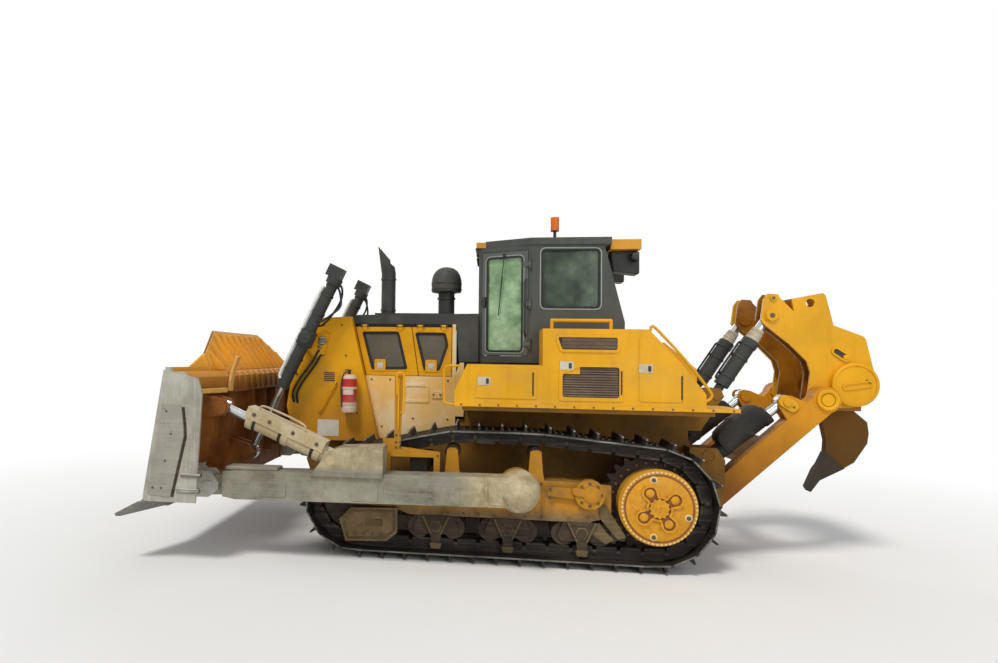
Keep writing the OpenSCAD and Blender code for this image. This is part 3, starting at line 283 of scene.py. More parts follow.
def blade_coat():
    """Blade: scoured steel on its front, ends and arm lugs; on its back, dark brown low down as painted shade,
    turning to the spill guard's yellow above.
    """
    s = Shader("blade_coat")
    y = s.math("ABSOLUTE", s.axis("Y"))
    lugs = s.math("MULTIPLY", s.band(y, 1.50, 1.52), s.band(s.axis("Z"), 1.04, 1.06, 1, 0))
    bare = s.math("MAXIMUM", s.math("MAXIMUM", s.band(s.facing("X"), 0.25, 0.35), s.band(y, 2.090, 2.096)),
                  lugs)
    patch = s.band(s.noise(2.1, 7, 0.66), 0.34, 0.66)
    steel = s.mix(patch, linear("928e81"), linear("bcbaad"))
    lines = s.band(s.noise(34, 3, 0.6, (1, 1, 0.06)), 0.50, 0.68, 0, 0.4)
    steel = s.mix(lines, steel, linear("cac8c0"))
    dirt = s.band(s.noise(3.0, 6, 0.65), 0.38, 0.72)
    # Painted shade: dark browns low on the blade's back, turning to the spill guard's yellow between heights
    # 1.92 and 2.26.
    low = s.mix(dirt, linear("6e3f14"), linear("99602a"))
    high = s.mix(dirt, linear("eaa62e"), linear("d59a46"))
    back = s.mix(s.band(s.axis("Z"), 1.92, 2.26), low, high)
    fine = s.noise(50, 5, 0.7)
    s.bump(s.math("ADD", fine, s.math("MULTIPLY", patch, 0.8)), 0.18, 0.006)
    s.bsdf.inputs["Specular IOR Level"].default_value = 0.22
    return s.done(s.mix(bare, back, steel), s.band(fine, 0.3, 0.7, 0.55, 0.75), s.math("MULTIPLY", bare, 0.25))


YELLOW = paint("yellow_coat", "dd9e0c", 0.16, 1.4, 0.22)
# The fender coat carries painted shade behind its louvres and its vent.
BOX_YELLOW = paint("fender_coat", "e0a316", 0.18, 1.6, 0.2, 0.4, areas=box_recess_shade)
NOSE_YELLOW = paint("nose_coat", "da9c0a", 0.14, 1.6, 0.4, areas=nose_shade)
PANEL_YELLOW = paint("dusty_panel", "eab65c", 0.70, 2.3, 0.25, 0.6, "e6d2aa")
FRAME_YELLOW = paint("frame_coat", "b98120", 0.55, 0.62, 0.6, 0.6, "66543a", "2f261c", frame_mud)
# A dark brown copy of the yellow paint for the hull: painted shade, as under the fenders, with dark dust.
HULL_SHADED_YELLOW = paint("hull_coat_in_painted_shade", "8a6122", 0.60, 1.3, 0.6, 0.7, "55452e", "2f261c")
RIPPER_YELLOW = paint("ripper_coat", "dca008", 0.10, 1.1, 0.2, 0.38, areas=inner_painted_shade)
VISOR = paint("visor_coat", "cd932c", 0.2, 3.0, 0.2, 0.45)
DOOR_DARK = paint("door_coat", "5b615e", 0.18, 1.2, 0.1, 0.45, "837a66", "2b2b28")
SPROCKET = worn_steel("sprocket_iron", "33241a", "5c4a3a", "1c130e", 0.3, 0.6, 0.3)
WEAR = worn_steel("wear_steel", "a5a294", "b7b5aa", "8f8c80", 0.22, 0.62, 0.2)
LINK_YELLOW = paint("link_coat", "cf8c12", 0.30, 1.2, 0.5, 0.5, "7c4a16", "4a3218", areas=links_browner_low)
BLADE = blade_coat()
BRACKET = paint("bracket_coat", "d89a3a", 0.3, 2.6, 0.3, 0.6, "dcc08a")
DUSTY = paint("dusty_bracket", "e0b45c", 0.6, 2.6, 0.3, 0.6, "e0cfa4")
DRIVE = paint("drive_coat", "d9981a", 0.10, 1.0, 0.5, 0.45, chip_code="6b3f12", areas=drive_stain_and_shade)
DARK = paint("dark_coat", "3b3d3a", 0.22, 1.2, 0.15, 0.5, "837a66", "23221f")
CAB_DARK = paint("cab_coat", "4a4d48", 0.18, 1.2, 0.1, 0.5, "837a66", "2b2b28")
BLACK = paint("black_coat", "1e1e1c", 0.22, 1.6, 0.2, 0.5, "6d6453", "100f0e")
STEEL = worn_steel("scoured_steel", "9d9a87", dark="6a6353", areas=arm_earth)
GUARD = paint("guard_mud", "a68f64", 0.75, 2.2, 0.6, 0.7, "cabc9c", "6f5b38")
EDGE = worn_steel("edge_steel", "84837a", "a3a199", "6a685f", 0.35, 0.5, 0.4)
TRACK = worn_steel("track_iron", "332c25", "6e6a64", "191512", 0.25, 0.6, 0.45)
LINK = worn_steel("link_iron", "3d352b", "77736a", "221c16", 0.3, 0.55, 0.5)
ROLLER = worn_steel("roller_iron", "4a3d2c", "6a5e4c", "221a13", 0.3, 0.65, 0.3)
MUDDY = worn_steel("muddy_plate", "71603f", "8b7a58", "43361f", 0.3, 0.75, 0.1)
SHANK = paint("shank_mud", "70470f", 0.55, 2.0, 0.5, 0.7, "5f4a26", "2a1c0e")
POINT = paint("point_mud", "39332b", 0.35, 1.6, 0.6, 0.6, "5c5038", "1d1813")
ROD = plain("bright_rod", "b9bbba", 0.18, 0.9, 0.06, 8, 0.02)
GLASS = pane("side_pane", "2b392b", 0.70, "50664e")
# Door glass in pale greens: a painted reflection.
DOOR_GLASS_REFLECTION = pane("door_pane_with_painted_reflection", "7fa377", 0.60, "c4e4b8")
AMBER = paint("beacon_coat", "e0701a", 0.05, 1.0, 0.05, 0.25, areas=beacon_lens)
RED = paint("red_coat", "b8302c", 0.25, 1.6, 0.2, 0.4, "c2a491", areas=bottle_band)
BOTTLE = paint("bottle_ends", "d6b9a2", 0.3, 1.8, 0.2, 0.45)
CLOTH = plain("seat_cloth", "232423", 0.9, 0.0, 0.2, 60, 0.3)

RUBBER = plain("black_rubber", "1a1a19", 0.75, 0.0, 0.15, 30, 0.1)
LATCH = plain("latch_black", "26251f", 0.5, 0.0, 0.2)
BOLT = plain("bolt_steel", "5a5346", 0.5, 0.6, 0.3, 40)
RUSTY = plain("rusty_bolt", "6b4520", 0.6, 0.2, 0.3, 40)
# Brown: a stain colour, and painted shade on the floor of the final drives' lobed caps.
STAIN_AND_SHADE = plain("brown_stain_and_shade", "7d4711", 0.6, 0.0, 0.35, 22)
# Near-white pipes: partly their own pale colour, partly a painted highlight down the lift barrels.
PALE_PIPE_AND_HIGHLIGHT = plain("pale_pipe_and_highlight", "e2e4df", 0.35, 0.1, 0.08, 14)
SHOE = worn_steel("shoe_edge", "75786f", "a9aea8", "3d3b35", 0.5, 0.5, 0.5)
SLAT = paint("slat_coat", "5d4c42", 0.3, 2.0, 0.1, 0.5)
# Dark brown for the room behind the upper vents' slats: painted shade.
SLAT_SHADE = plain("slat_room_shade", "2b2019", 0.8, 0.0, 0.2)
LENS = plain("lamp_lens", "e8ecec", 0.1, 0.0, 0.05)
BLANK = paint("blank_plate", "d8d2c4", 0.3, 2.0, 0.1, 0.5)
PALE = paint("dusty_sleeve", "cfc8b8", 0.4, 2.6, 0.2, 0.7)
BRIGHT = worn_steel("worn_tip", "8e8b84", "c9c7c1", "57534c", 0.7, 0.42, 0.7)

FINISH = {"nose": NOSE_YELLOW, "engine_sides": PANEL_YELLOW, "track_frames": FRAME_YELLOW,
          "main_frame": HULL_SHADED_YELLOW, "sprockets": SPROCKET, "roof_visors": VISOR, "final_drives": YELLOW,
          "moldboard": BLADE, "cutting_edge": EDGE, "track_left": TRACK, "track_right": TRACK, "bogies": ROLLER,
          "carrier_rollers": ROLLER, "idlers": ROLLER, "hood_top": DARK, "engine": BLACK, "cab_shell": CAB_DARK,
          "cab_roof": CAB_DARK, "consoles": BLACK, "exhaust_stack": DARK, "air_precleaner": DARK,
          "equalizer_bar": BLACK, "beacon": AMBER, "seat": CLOTH, "fire_extinguisher": RED,
          "ripper_links": LINK_YELLOW, "ripper_carrier": RIPPER_YELLOW, "ripper_shank": SHANK,
          "ripper_point": POINT, "cab_glass": GLASS}
for side in ("left", "right"):
    FINISH |= {"push_arm_" + side: STEEL, "tilt_barrel_" + side: GUARD, "side_box_" + side: BOX_YELLOW,
               "lift_barrel_" + side: DARK, "ripper_lift_barrel_" + side: BLACK,
               "ripper_tilt_barrel_" + side: DARK, "cab_door_" + side: DOOR_DARK,
               "door_glass_" + side: DOOR_GLASS_REFLECTION, "front_engine_door_" + side: YELLOW,
               "rear_engine_door_" + side: YELLOW}
    for rod in ("lift", "tilt", "ripper_lift", "ripper_tilt"):
        FINISH[f"{rod}_rod_{side}"] = ROD
for name, obj in node.items():
    obj.data.materials.clear()
    obj.data.materials.append(FINISH.get(name, YELLOW))

# Surfaces


def quads(rings, around, close=False):
    """Faces of a grid of rings by around points, closed round each ring, and from last ring to first if
    close."""
    i, j = np.meshgrid(np.arange(rings if close else rings - 1), np.arange(around), indexing="ij")
    n, k = (i + 1) % rings, (j + 1) % around
    return np.stack([i * around + j, i * around + k, n * around + k, n * around + j],
                    -1).reshape(-1, 4).tolist()


def capped(grid):
    """A closed skin from a stack of rings: the grid's sides and a cap on its first and last ring."""
    rings, around = grid.shape[:2]
    last = (rings - 1) * around
    return grid.reshape(-1, 3), quads(rings, around) + [
            list(range(around))[::-1], list(range(last, last + around))]


def join(*parts):
    """Several skins as one."""
    verts, faces, base = [], [], 0
    for v, f in parts:
        verts.append(v)
        faces += [[i + base for i in g] for g in f]
        base += len(v)
    return np.concatenate(verts), faces


def mirrored(part):
    """The same skin on the other side of the machine: y turns to -y, and each face runs the other way round."""
    return part[0] * (1, -1, 1), [g[::-1] for g in part[1]]


def both(part):
    """A skin and its mirror image as one."""
    return join(part, mirrored(part))


def basis(axis):
    """Two unit directions square to an axis."""
    a = np.array(axis, float) / np.linalg.norm(axis)
    e = np.cross(a, (0, 0, 1.0) if abs(a[2]) < 0.9 else (1.0, 0, 0))
    e /= np.linalg.norm(e)
    return a, e, np.cross(a, e)


def spun(profile, base, axis, sides):
    """Rings of a profile of (radius r, distance h) turned round an axis a: base + h a + r (cos t e + sin t
    f)."""
    p = np.maximum(np.array(profile, float), (1e-5, -1e9))
    a, e, f = basis(axis)
    t = np.linspace(0, TAU, sides, endpoint=False)[:, None]
    ring = np.cos(t) * e + np.sin(t) * f
    return np.array(base, float) + p[:, 1, None, None] * a + p[:, 0, None, None] * ring


def lathe(profile, base, axis, sides=32):
    """A turned solid: the profile's rings with a cap at each end."""
    return capped(spun(profile, base, axis, sides))


def hoop(profile, base, axis, sides=32):
    """A turned ring with a hole: the profile's last ring is joined to its first."""
    grid = spun(profile, base, axis, sides)
    return grid.reshape(-1, 3), quads(len(grid), sides, True)


def smooth(points, n=6):
    """A Catmull-Rom curve through the points, n steps to each span."""
    p = np.array(points, float)
    q = np.concatenate([[2 * p[0] - p[1]], p, [2 * p[-1] - p[-2]]])
    a, b, c, d = (q[i:len(q) - 3 + i, None] for i in range(4))
    t = np.linspace(0, 1, n, endpoint=False)[None, :, None]
    s = 0.5 * (2 * b + (c - a) * t + (2 * a - 5 * b + 4 * c - d) * t ** 2 + (3 * b - a - 3 * c + d) * t ** 3)
    return np.concatenate([s.reshape(-1, 3), p[-1:]])


def rounded(outline, r, n=4):
    """An outline with its corners rounded: between the points r before and r after each corner runs a
    parabola."""
    p = np.array(outline, float)
    back, on = np.roll(p, 1, 0) - p, np.roll(p, -1, 0) - p
    lb, lo = np.linalg.norm(back, axis=1, keepdims=True), np.linalg.norm(on, axis=1, keepdims=True)
    a, c = p + back / lb * np.minimum(r, 0.45 * lb), p + on / lo * np.minimum(r, 0.45 * lo)
    s = np.linspace(0, 1, n)[None, :, None]
    return ((1 - s) ** 2 * a[:,
                             None] + 2 * s * (1 - s) * p[:, None] + s ** 2 * c[:, None]).reshape(-1, p.shape[1])


def tube(path, r, sides=10):
    """A circle of radius r carried along a path, square to it at each point."""
    p = np.array(path, float)
    t = np.gradient(p, axis=0)
    t /= np.linalg.norm(t, axis=1, keepdims=True)
    ref = np.eye(3)[np.argmin(np.abs(t).max(0))]
    e = np.cross(t, ref)
    e /= np.linalg.norm(e, axis=1, keepdims=True)
    a = np.linspace(0, TAU, sides, endpoint=False)[None, :, None]
    return capped(p[:, None] + r * (np.cos(a) * e[:, None] + np.sin(a) * np.cross(t, e)[:, None]))


def counter(outline):
    """The outline run anticlockwise."""
    p = np.array(outline, float)
    n = np.roll(p, -1, 0)
    return p if np.sum(p[:, 0] * n[:, 1] - n[:, 0] * p[:, 1]) > 0 else p[::-1]


def drawn_in(p, c):
    """An anticlockwise outline moved inwards by c, along each corner's bisector."""
    d = np.roll(p, -1, 0) - p
    d /= np.linalg.norm(d, axis=1, keepdims=True)
    n = np.stack([-d[:, 1], d[:, 0]], 1)
    m = np.roll(n, 1, 0)
    return p + c * (n + m) / (1 + np.sum(n * m, 1, keepdims=True))


def on_side(flat, y):
    """Side-view points (station, height) as points in space at one y."""
    p = np.array(flat, float).reshape(-1, 2)
    return np.stack([p[:, 0] + SPROCKET_X, np.full(len(p), y), p[:, 1]], 1)


def plate(outline, low, high, edge=0.004):
    """A side outline (station, height) as a plate from y = low to high, its edges broken by edge."""
    p = counter(outline)
    rings = [(drawn_in(p, edge), high), (p, high - edge), (p, low + edge), (drawn_in(p, edge), low)]
    return capped(np.stack([on_side(q, y) for q, y in rings]))


def rim(outer, inner, low, high):
    """A flat frame between two outlines with as many corners, from y = low to high."""
    o, i = counter(outer), counter(inner)
    grid = np.stack([on_side(q, y) for q, y in ((o, high), (o, low), (i, low), (i, high))])
    return grid.reshape(-1, 3), quads(4, len(o), True)


def rect(x0, x1, z0, z1, r=0.0):
    """A rectangle's outline in a side view, its corners rounded by r."""
    p = [(x0, z0), (x1, z0), (x1, z1), (x0, z1)]
    return rounded(p, r) if r else np.array(p, float)


def slab(low, high, edge=0.004):
    """A box between two corners, with broken edges round its two sides."""
    return plate(rect(low[0], high[0], low[2], high[2], edge * 2), low[1], high[1], edge)


def heads(points, normal, r=0.018, h=0.014):
    """Six-sided bolt heads on points, along one normal: radius r, r and 0.8 r at heights 0, 0.7 h and h."""
    p = np.array(points, float).reshape(-1, 1, 1, 3)
    a, e, f = basis(normal)
    t = np.linspace(0, TAU, 6, endpoint=False)[:, None]
    ring = np.cos(t) * e + np.sin(t) * f
    shape = np.array([0, 0.7 * h, h])[:, None, None] * a + np.array([r, r, 0.8 * r])[:, None, None] * ring
    v = (p + shape - 0.001 * a).reshape(-1, 3)
    one = quads(3, 6) + [list(range(12, 18))]
    return v, [[i + 18 * k for i in g] for k in range(len(p)) for g in one]


def circle(centre, r, count, start=0.0):
    """Points of a bolt circle in a side view: (station, height)."""
    a = start + np.linspace(0, TAU, count, endpoint=False)
    return np.stack([centre[0] + r * np.cos(a), centre[1] + r * np.sin(a)], 1)


def side_heads(flat, y, r, h):
    """Bolt heads on the left side, from side-view points at one y."""
    return heads(on_side(flat, y), SIDEWAYS, r, h)


def panel(outline, r, low, high, edge=0.004):
    """A plate whose outline's corners are rounded by r."""
    return plate(rounded(outline, r), low, high, edge)


def raised(outline, face, height, edge=0.004):
    """A plate that stands up from a face by a height, set 1 mm into it."""
    return plate(outline, face - 0.001, face + height, edge)


def boss(profile, base, sides):
    """A turned solid that stands out from the left side."""
    return lathe(profile, base, SIDEWAYS, sides)


def side_ring(profile, base, sides):
    """A turned ring that stands out from the left side."""
    return hoop(profile, base, SIDEWAYS, sides)


def strap(r, outer, half, centre, axis, sides=36):
    """A band round a bar, from radius r to outer and half to each side of its centre, with rims broken by 2
    mm."""
    return hoop([(r, -half), (outer, 0.002 - half), (outer, half - 0.002), (r, half)], centre, axis, sides)


def bent_bar(route, r, n=5, sides=10):
    """A round bar bent smoothly through the points of a route, each a station, a side and a height."""
    return tube(smooth([at(*p) for p in route], n), r, sides)


def beside(low, high, s, n, y):
    """A point s along the line from low to high in a side view, n to the left of it, at one y."""
    d = np.array(high, float) - low
    d /= np.linalg.norm(d)
    p = np.array(low) + s * d + n * np.array([-d[1], d[0]])
    return at(p[0], y, p[1])


def piece(name, part, finish, body="tractor", bend=35):
    """Puts a skin into the scene, smooth except across edges sharper than bend, riding on a body."""
    mesh = bpy.data.meshes.new(name)
    mesh.from_pydata(part[0].tolist(), [], part[1])
    mesh.polygons.foreach_set("use_smooth", np.ones(len(mesh.polygons), bool))
    mesh.set_sharp_from_angle(angle=math.radians(bend))
    mesh.materials.append(finish)
    obj = bpy.data.objects.new(name, mesh)
    bpy.context.scene.collection.objects.link(obj)
    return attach(obj, body)


def pair(name, part, finish, body="tractor"):
    """One piece made of a skin and its mirror image."""
    return piece(name, both(part), finish, body)


def sides(name, part, finish, body, bend=35):
    """A piece on the left body and its mirror image on the right one."""
    piece(name + "_left", part, finish, body + "_left_body", bend)
    piece(name + "_right", mirrored(part), finish, body + "_right_body", bend)


def mesh_sheet():
    """Perforated sheet: dark round holes in rows, on a brown dusty ground."""
    s = Shader("door_mesh")
    m = s.add("ShaderNodeMapping", Vector=s.place)
    m.inputs["Scale"].default_value = (95, 95, 95)
    parts = s.add("ShaderNodeSeparateXYZ", Vector=m.outputs[0])
    wave = [s.math("SINE", s.math("MULTIPLY", parts.outputs[i], math.pi)) for i in ("X", "Z")]
    holes = s.band(s.math("ABSOLUTE", s.math("MULTIPLY", wave[0], wave[1])), 0.25, 0.55)
    dust = s.band(s.noise(3.0, 6, 0.65), 0.36, 0.7)
    ground = s.mix(dust, linear("5a5443"), linear("857a62"))
    s.bump(holes, 0.4, 0.004)
    return s.done(s.mix(holes, ground, linear("35312a")), 0.65)


MESH = mesh_sheet()

# Tracks: worn grouser tips, shoe bolts and pin ends, on the links of the pin line

TRACK_Y, SHOE_W, PITCH = 1.130, 0.610, 0.260
PIN_H, SHOE_T, GROUSER = 0.068, 0.020, 0.080
WHEELS = np.array([(0, SPROCKET_Z, 0.564), (3.4, 0.668, 0.5), (2.26, 1.238, 0.182), (1.31, 1.238, 0.182)])


def pin_line():
    """Pins spaced evenly along the belt round the wheels: straight runs, each with an arc of the next wheel."""
    here, there = WHEELS, np.roll(WHEELS, -1, 0)
    d = there[:, :2] - here[:, :2]
    gap = np.hypot(*d.T)
    head = np.arctan2(d[:, 1], d[:, 0]) + np.arcsin((here[:, 2] - there[:, 2]) / gap)
    run = np.sqrt(gap ** 2 - (here[:, 2] - there[:, 2]) ** 2)
    arc = there[:, 2] * ((np.roll(head, -1) - head) % TAU)
    ends = np.cumsum(run + arc)
    links = round(ends[-1] / PITCH)
    s = (np.arange(links) + 0.5) * ends[-1] / links
    i = np.searchsorted(ends, s)
    s = s - (ends - run - arc)[i]
    h = head[i] + np.maximum(s - run[i], 0) / there[i, 2]
    out = np.stack([np.sin(h), -np.cos(h)], 1)
    flat = here[i, :2] + here[i, 2:] * out + s[:, None] * np.stack([np.cos(h), np.sin(h)], 1)
    return np.where((s <= run[i])[:, None], flat, there[i, :2] + there[i, 2:] * out)


pins = pin_line()
step = np.roll(pins, -1, 0) - pins
along = step / np.linalg.norm(step, axis=1, keepdims=True)
outward = np.stack([along[:, 1], -along[:, 0]], 1)
middle = pins + step / 2


def on_links(a, b, y):
    """Points at share a of each link's length, b outwards from its pin line, at one y: one row per link."""
    return on_side(middle + a * step + b * outward, y)


def link_bars(a0, a1, b0, b1, y0, y1):
    """A small bar on every link, between two shares of its length, two heights and two y levels."""
    c = np.stack([on_links(a, b, y) for y in (y0, y1) for a, b in ((a0, b0), (a1, b0), (a1, b1), (a0, b1))], 1)
    one = [[3, 2, 1, 0], [4, 5, 6, 7], [0, 1, 5, 4], [1, 2, 6, 5], [2, 3, 7, 6], [3, 0, 4, 7]]
    return c.reshape(-1, 3), [[i + 8 * k for i in f] for k in range(len(pins)) for f in one]


def link_heads(a, b, y, r, h):
    """A six-sided head on every link, standing outwards."""
    t = np.linspace(0, TAU, 6, endpoint=False)
    base = on_links(a, b, y)
    fwd = np.stack([along[:, 0], 0 * along[:, 0], along[:, 1]], 1)[:, None]
    out = np.stack([outward[:, 0], 0 * along[:, 0], outward[:, 1]], 1)[:, None]
    side = np.array([0, 1.0, 0])
    ring = np.cos(t)[None, :, None] * fwd + np.sin(t)[None, :, None] * side
    v = np.concatenate([base[:, None] + r * ring - 0.001 * out, base[:, None] + r * ring + h * out], 1)
    one = [[(k + 1) % 6, k, 6 + k, 6 + (k + 1) % 6]
           for k in range(6)] + [list(range(6)), list(range(6, 12))[::-1]]
    return v.reshape(-1, 3), [[i + 12 * k for i in f] for k in range(len(pins)) for f in one]


shoe_top = PIN_H + SHOE_T
tips = link_bars(-0.343, -0.263, shoe_top + GROUSER - 0.016, shoe_top + GROUSER + 0.0003,
                 TRACK_Y - SHOE_W / 2 - 0.0015, TRACK_Y + SHOE_W / 2 + 0.0015)
shoe_bolts = join(*[link_heads(a, shoe_top, TRACK_Y + y, 0.019, 0.014) for a in (0.02, 0.30)
                    for y in (-0.1, 0.1)])


def pin_ends(y, normal):
    """Ends of the pins at one y, standing out to one side."""
    return heads(on_side(pins, y), (0, normal, 0), 0.030, 0.010)


ends_of_pins = join(pin_ends(TRACK_Y + 0.14, 1), pin_ends(TRACK_Y - 0.14, -1))
shoe_edges = join(*[link_bars(-0.49, 0.49, PIN_H + 0.002, PIN_H + SHOE_T - 0.001, y - 0.002, y + 0.0015)
                    for y in (TRACK_Y - SHOE_W / 2, TRACK_Y + SHOE_W / 2)])
link_lips = join(*[link_bars(-0.42, 0.42, -0.066, -0.045, y, y + 0.006)
                   for y in (TRACK_Y + 0.1395, TRACK_Y - 0.1455)])
for name, part, finish in (("grouser_tips", tips, BRIGHT), ("shoe_bolts", shoe_bolts, BOLT),
                           ("track_pins", ends_of_pins, LINK), ("shoe_edges", shoe_edges, SHOE),
                           ("link_rails", link_lips, LINK)):
    piece(name + "_left", part, finish)
    piece(name + "_right", mirrored(part), finish)

# Final drives: rim, ring of bolts and lobed cap

COVER_Y = 1.45
hub = (0.0, SPROCKET_Z)
rim_ring = side_ring([(0.366, 0.0), (0.405, 0.0), (0.405, 0.022), (0.395, 0.030), (0.38, 0.030),
                      (0.366, 0.022)],
                     at(0, COVER_Y - 0.005, SPROCKET_Z), 72)
face = boss([(0.370, 0), (0.370, 0.026), (0.362, 0.0312), (0.10, 0.0315)], at(0, COVER_Y - 0.001, SPROCKET_Z),
            64)
PLUG_TURNS = (79, 196, 281)
LOBES = math.radians(59) + np.arange(4) * TAU / 4


def lobed(inset):
    """Outline of a cover with four lobes: the lobe circles' reach along each ray, or the hub's if larger."""
    t = np.linspace(0, TAU, 144, endpoint=False)
    d = np.cos(t[:, None] - LOBES)
    far, small, hub_r = 0.190, 0.088 - inset, 0.138 - inset
    under = small ** 2 - far ** 2 * (1 - d ** 2)
    reach = np.where((under > 0) & (d > 0), far * d + np.sqrt(np.maximum(under, 0)), 0).max(1)
    r = np.maximum(reach, hub_r)
    return np.stack([r * np.cos(t), r * np.sin(t) + SPROCKET_Z], 1)


def scalloped(r, depth, count):
    """Outline of a star with round bays: its radius is r + depth cos(count t)."""
    t = np.linspace(0, TAU, count * 8, endpoint=False)
    q = r + depth * np.cos(count * t)
    return np.stack([q * np.cos(t), q * np.sin(t) + SPROCKET_Z], 1)


def drive_spots(r, degrees):
    """Side-view points at one radius from the drive's middle."""
    return [circle(hub, r, 1, math.radians(a))[0] for a in degrees]


wall = join(rim(lobed(0), lobed(0.020), COVER_Y + 0.029, COVER_Y + 0.053),
            plate(scalloped(0.104, 0.010, 12), COVER_Y + 0.033, COVER_Y + 0.050, 0.005),
            *[boss([(0.046, 0), (0.046, 0.008), (0.036, 0.015), (0.012, 0.017)], at(x, COVER_Y + 0.033, z), 28)
              for x, z in circle(hub, 0.190, 4, LOBES[0])])
# The cap's brown floor shows between its lobed wall, star and bosses: painted shade in the recesses.
floors = join(plate(lobed(0.012), COVER_Y + 0.029, COVER_Y + 0.0345, 0.001),
              side_ring([(0.351, 0), (0.369, 0), (0.369, 0.002), (0.351, 0.002)],
                        at(0, COVER_Y + 0.030, SPROCKET_Z), 72))
beads = side_heads(circle(hub, 0.390, 54), COVER_Y + 0.024, 0.0135, 0.011)
plug_seats = join(*[boss([(0.040, 0), (0.040, 0.004), (0.034, 0.007), (0.012, 0.007)],
                         at(x, COVER_Y + 0.030, z), 28)
                    for x, z in drive_spots(0.315, PLUG_TURNS)])
cover_bolts = side_heads(circle(hub, 0.118, 12, math.radians(15)), COVER_Y + 0.034, 0.010, 0.007)
plugs = side_heads(drive_spots(0.315, PLUG_TURNS), COVER_Y + 0.036, 0.025, 0.014)
segment_bolts = side_heads(circle(hub, 0.455, 27), TRACK_Y + 0.045, 0.02, 0.018)
pair("drive_rims", rim_ring, YELLOW)
pair("drive_faces", face, DRIVE)
pair("drive_clovers", wall, DRIVE)
pair("drive_dishes", floors, STAIN_AND_SHADE)
pair("drive_bolts", join(segment_bolts, cover_bolts), RUSTY)
pair("drive_beads", join(beads, plug_seats), DUSTY)
pair("drive_plugs", plugs, BOLT)

# Track frames: bolts, ribs, drive guards, pads, bogie rims, idler guards, grips and step treads

TRUNNION = (1.52, 0.90)
plate_bolts = [(x, z) for x in (0.75, 1.15) for z in (0.785, 0.875)]
frame_bolts = join(
    side_heads(plate_bolts, 1.375, 0.018, 0.014),
    side_heads(circle((0.72, 0.835), 0.125, 8), 1.400, 0.017, 0.013),
    side_heads([(x, z) for x in np.linspace(1.25, 2.3, 7) for z in (0.545, 0.925)], 1.330, 0.016, 0.012),
    side_heads(circle(TRUNNION, 0.165, 8, 0.2), 1.420, 0.018, 0.014))
pair("track_frame_bolts", frame_bolts, BOLT)
frame_ribs = join(*[plate(rect(x, x + 0.016, 0.53, 0.94), 1.328, 1.352, 0.003) for x in (1.22, 1.98, 2.34)],
                  panel([(1.26, 0.60), (1.94, 0.60), (1.94, 0.70), (1.26, 0.70)], 0.02, 1.328, 1.337, 0.003))
pair("track_frame_ribs", frame_ribs, FRAME_YELLOW)
rear_guard = join(panel([(0.625, 0.72), (0.545, 0.72), (0.315, 0.37), (0.41, 0.335), (0.60, 0.56)], 0.02, 1.326,
                        1.352, 0.004),
                  panel([(0.80, 0.50), (0.60, 0.50), (0.52, 0.40), (0.44, 0.33), (0.54, 0.28), (0.66, 0.36)],
                        0.02, 1.300, 1.334, 0.004))
pair("drive_guards", rear_guard, MUDDY)
oval_pad = join(panel([(0.735, 0.80), (0.90, 0.82), (0.92, 0.87), (0.90, 0.915), (0.735, 0.895), (0.71, 0.85)],
                      0.04, 1.372, 1.418, 0.006),
                boss([(0.10, 0), (0.10, 0.010), (0.085, 0.022), (0.04, 0.026)], at(0.70, 1.398, 0.835), 40))
pair("adjuster_pads", oval_pad, FRAME_YELLOW)
bogie_trim = []
for x in (2.44, 1.62, 0.80):
    for m in (-1, 1):
        bogie_trim.append(plate([(x + m * 0.165, 0.508), (x + m * 0.140, 0.508), (x + m * 0.040, 0.298),
                                 (x + m * 0.062, 0.294)], 1.350, 1.362, 0.002))
    bogie_trim += [boss([(0.075, 0), (0.075, 0.008), (0.066, 0.014), (0.05, 0.014)], at(x, 1.351, 0.39), 6),
                   panel([(x - 0.055, 0.135), (x + 0.055, 0.135), (x + 0.07, 0.20), (x - 0.07, 0.20)], 0.01,
                         1.350, 1.362, 0.003)]
pair("bogie_rims", join(*bogie_trim), MUDDY)
guard = join(rim(rounded([(3.54, 0.42), (3.43, 0.535), (2.915, 0.552), (2.915, 0.31), (3.03, 0.215),
                          (3.48, 0.197)], 0.02),
                 rounded([(3.51, 0.415), (3.415, 0.51), (2.94, 0.527), (2.94, 0.32), (3.04, 0.24),
                          (3.465, 0.222)], 0.02), 1.363, 1.373),
             plate(rect(3.06, 3.26, 0.36, 0.44, 0.02), 1.363, 1.376, 0.004))
pair("idler_guard_rims", guard, MUDDY)
guard_heads = side_heads([(x, 0.265) for x in (3.08, 3.18, 3.28, 3.38)], 1.365, 0.018, 0.012)
post_heads = side_heads([(x, z) for x in (2.85, 2.90)
                         for z in (1.36, 1.44, 1.30)] + [(2.42, 1.22), (2.42, 1.0), (3.02, 1.0)], 1.475, 0.014,
                        0.011)
pair("guard_bolts", join(guard_heads, post_heads), BOLT)
grip = bent_bar([(2.878, 1.472, 1.52), (2.878, 1.490, 1.56), (2.878, 1.490, 2.04), (2.878, 1.472, 2.08)], 0.011)
pair("step_grips", grip, YELLOW)
treads = join(*[slab((x, 1.452, 0.958), (x + 0.022, 1.474, 0.968), 0.002) for x in np.linspace(2.42, 3.02, 15)])
pair("step_treads", treads, FRAME_YELLOW)

# Fender boxes: panels, frames of the openings, louvres, hinges, latches and bolts

BOX_Y = 1.430


def grown(outline, c):
    """An outline moved outwards by c."""
    return drawn_in(counter(outline), -c)


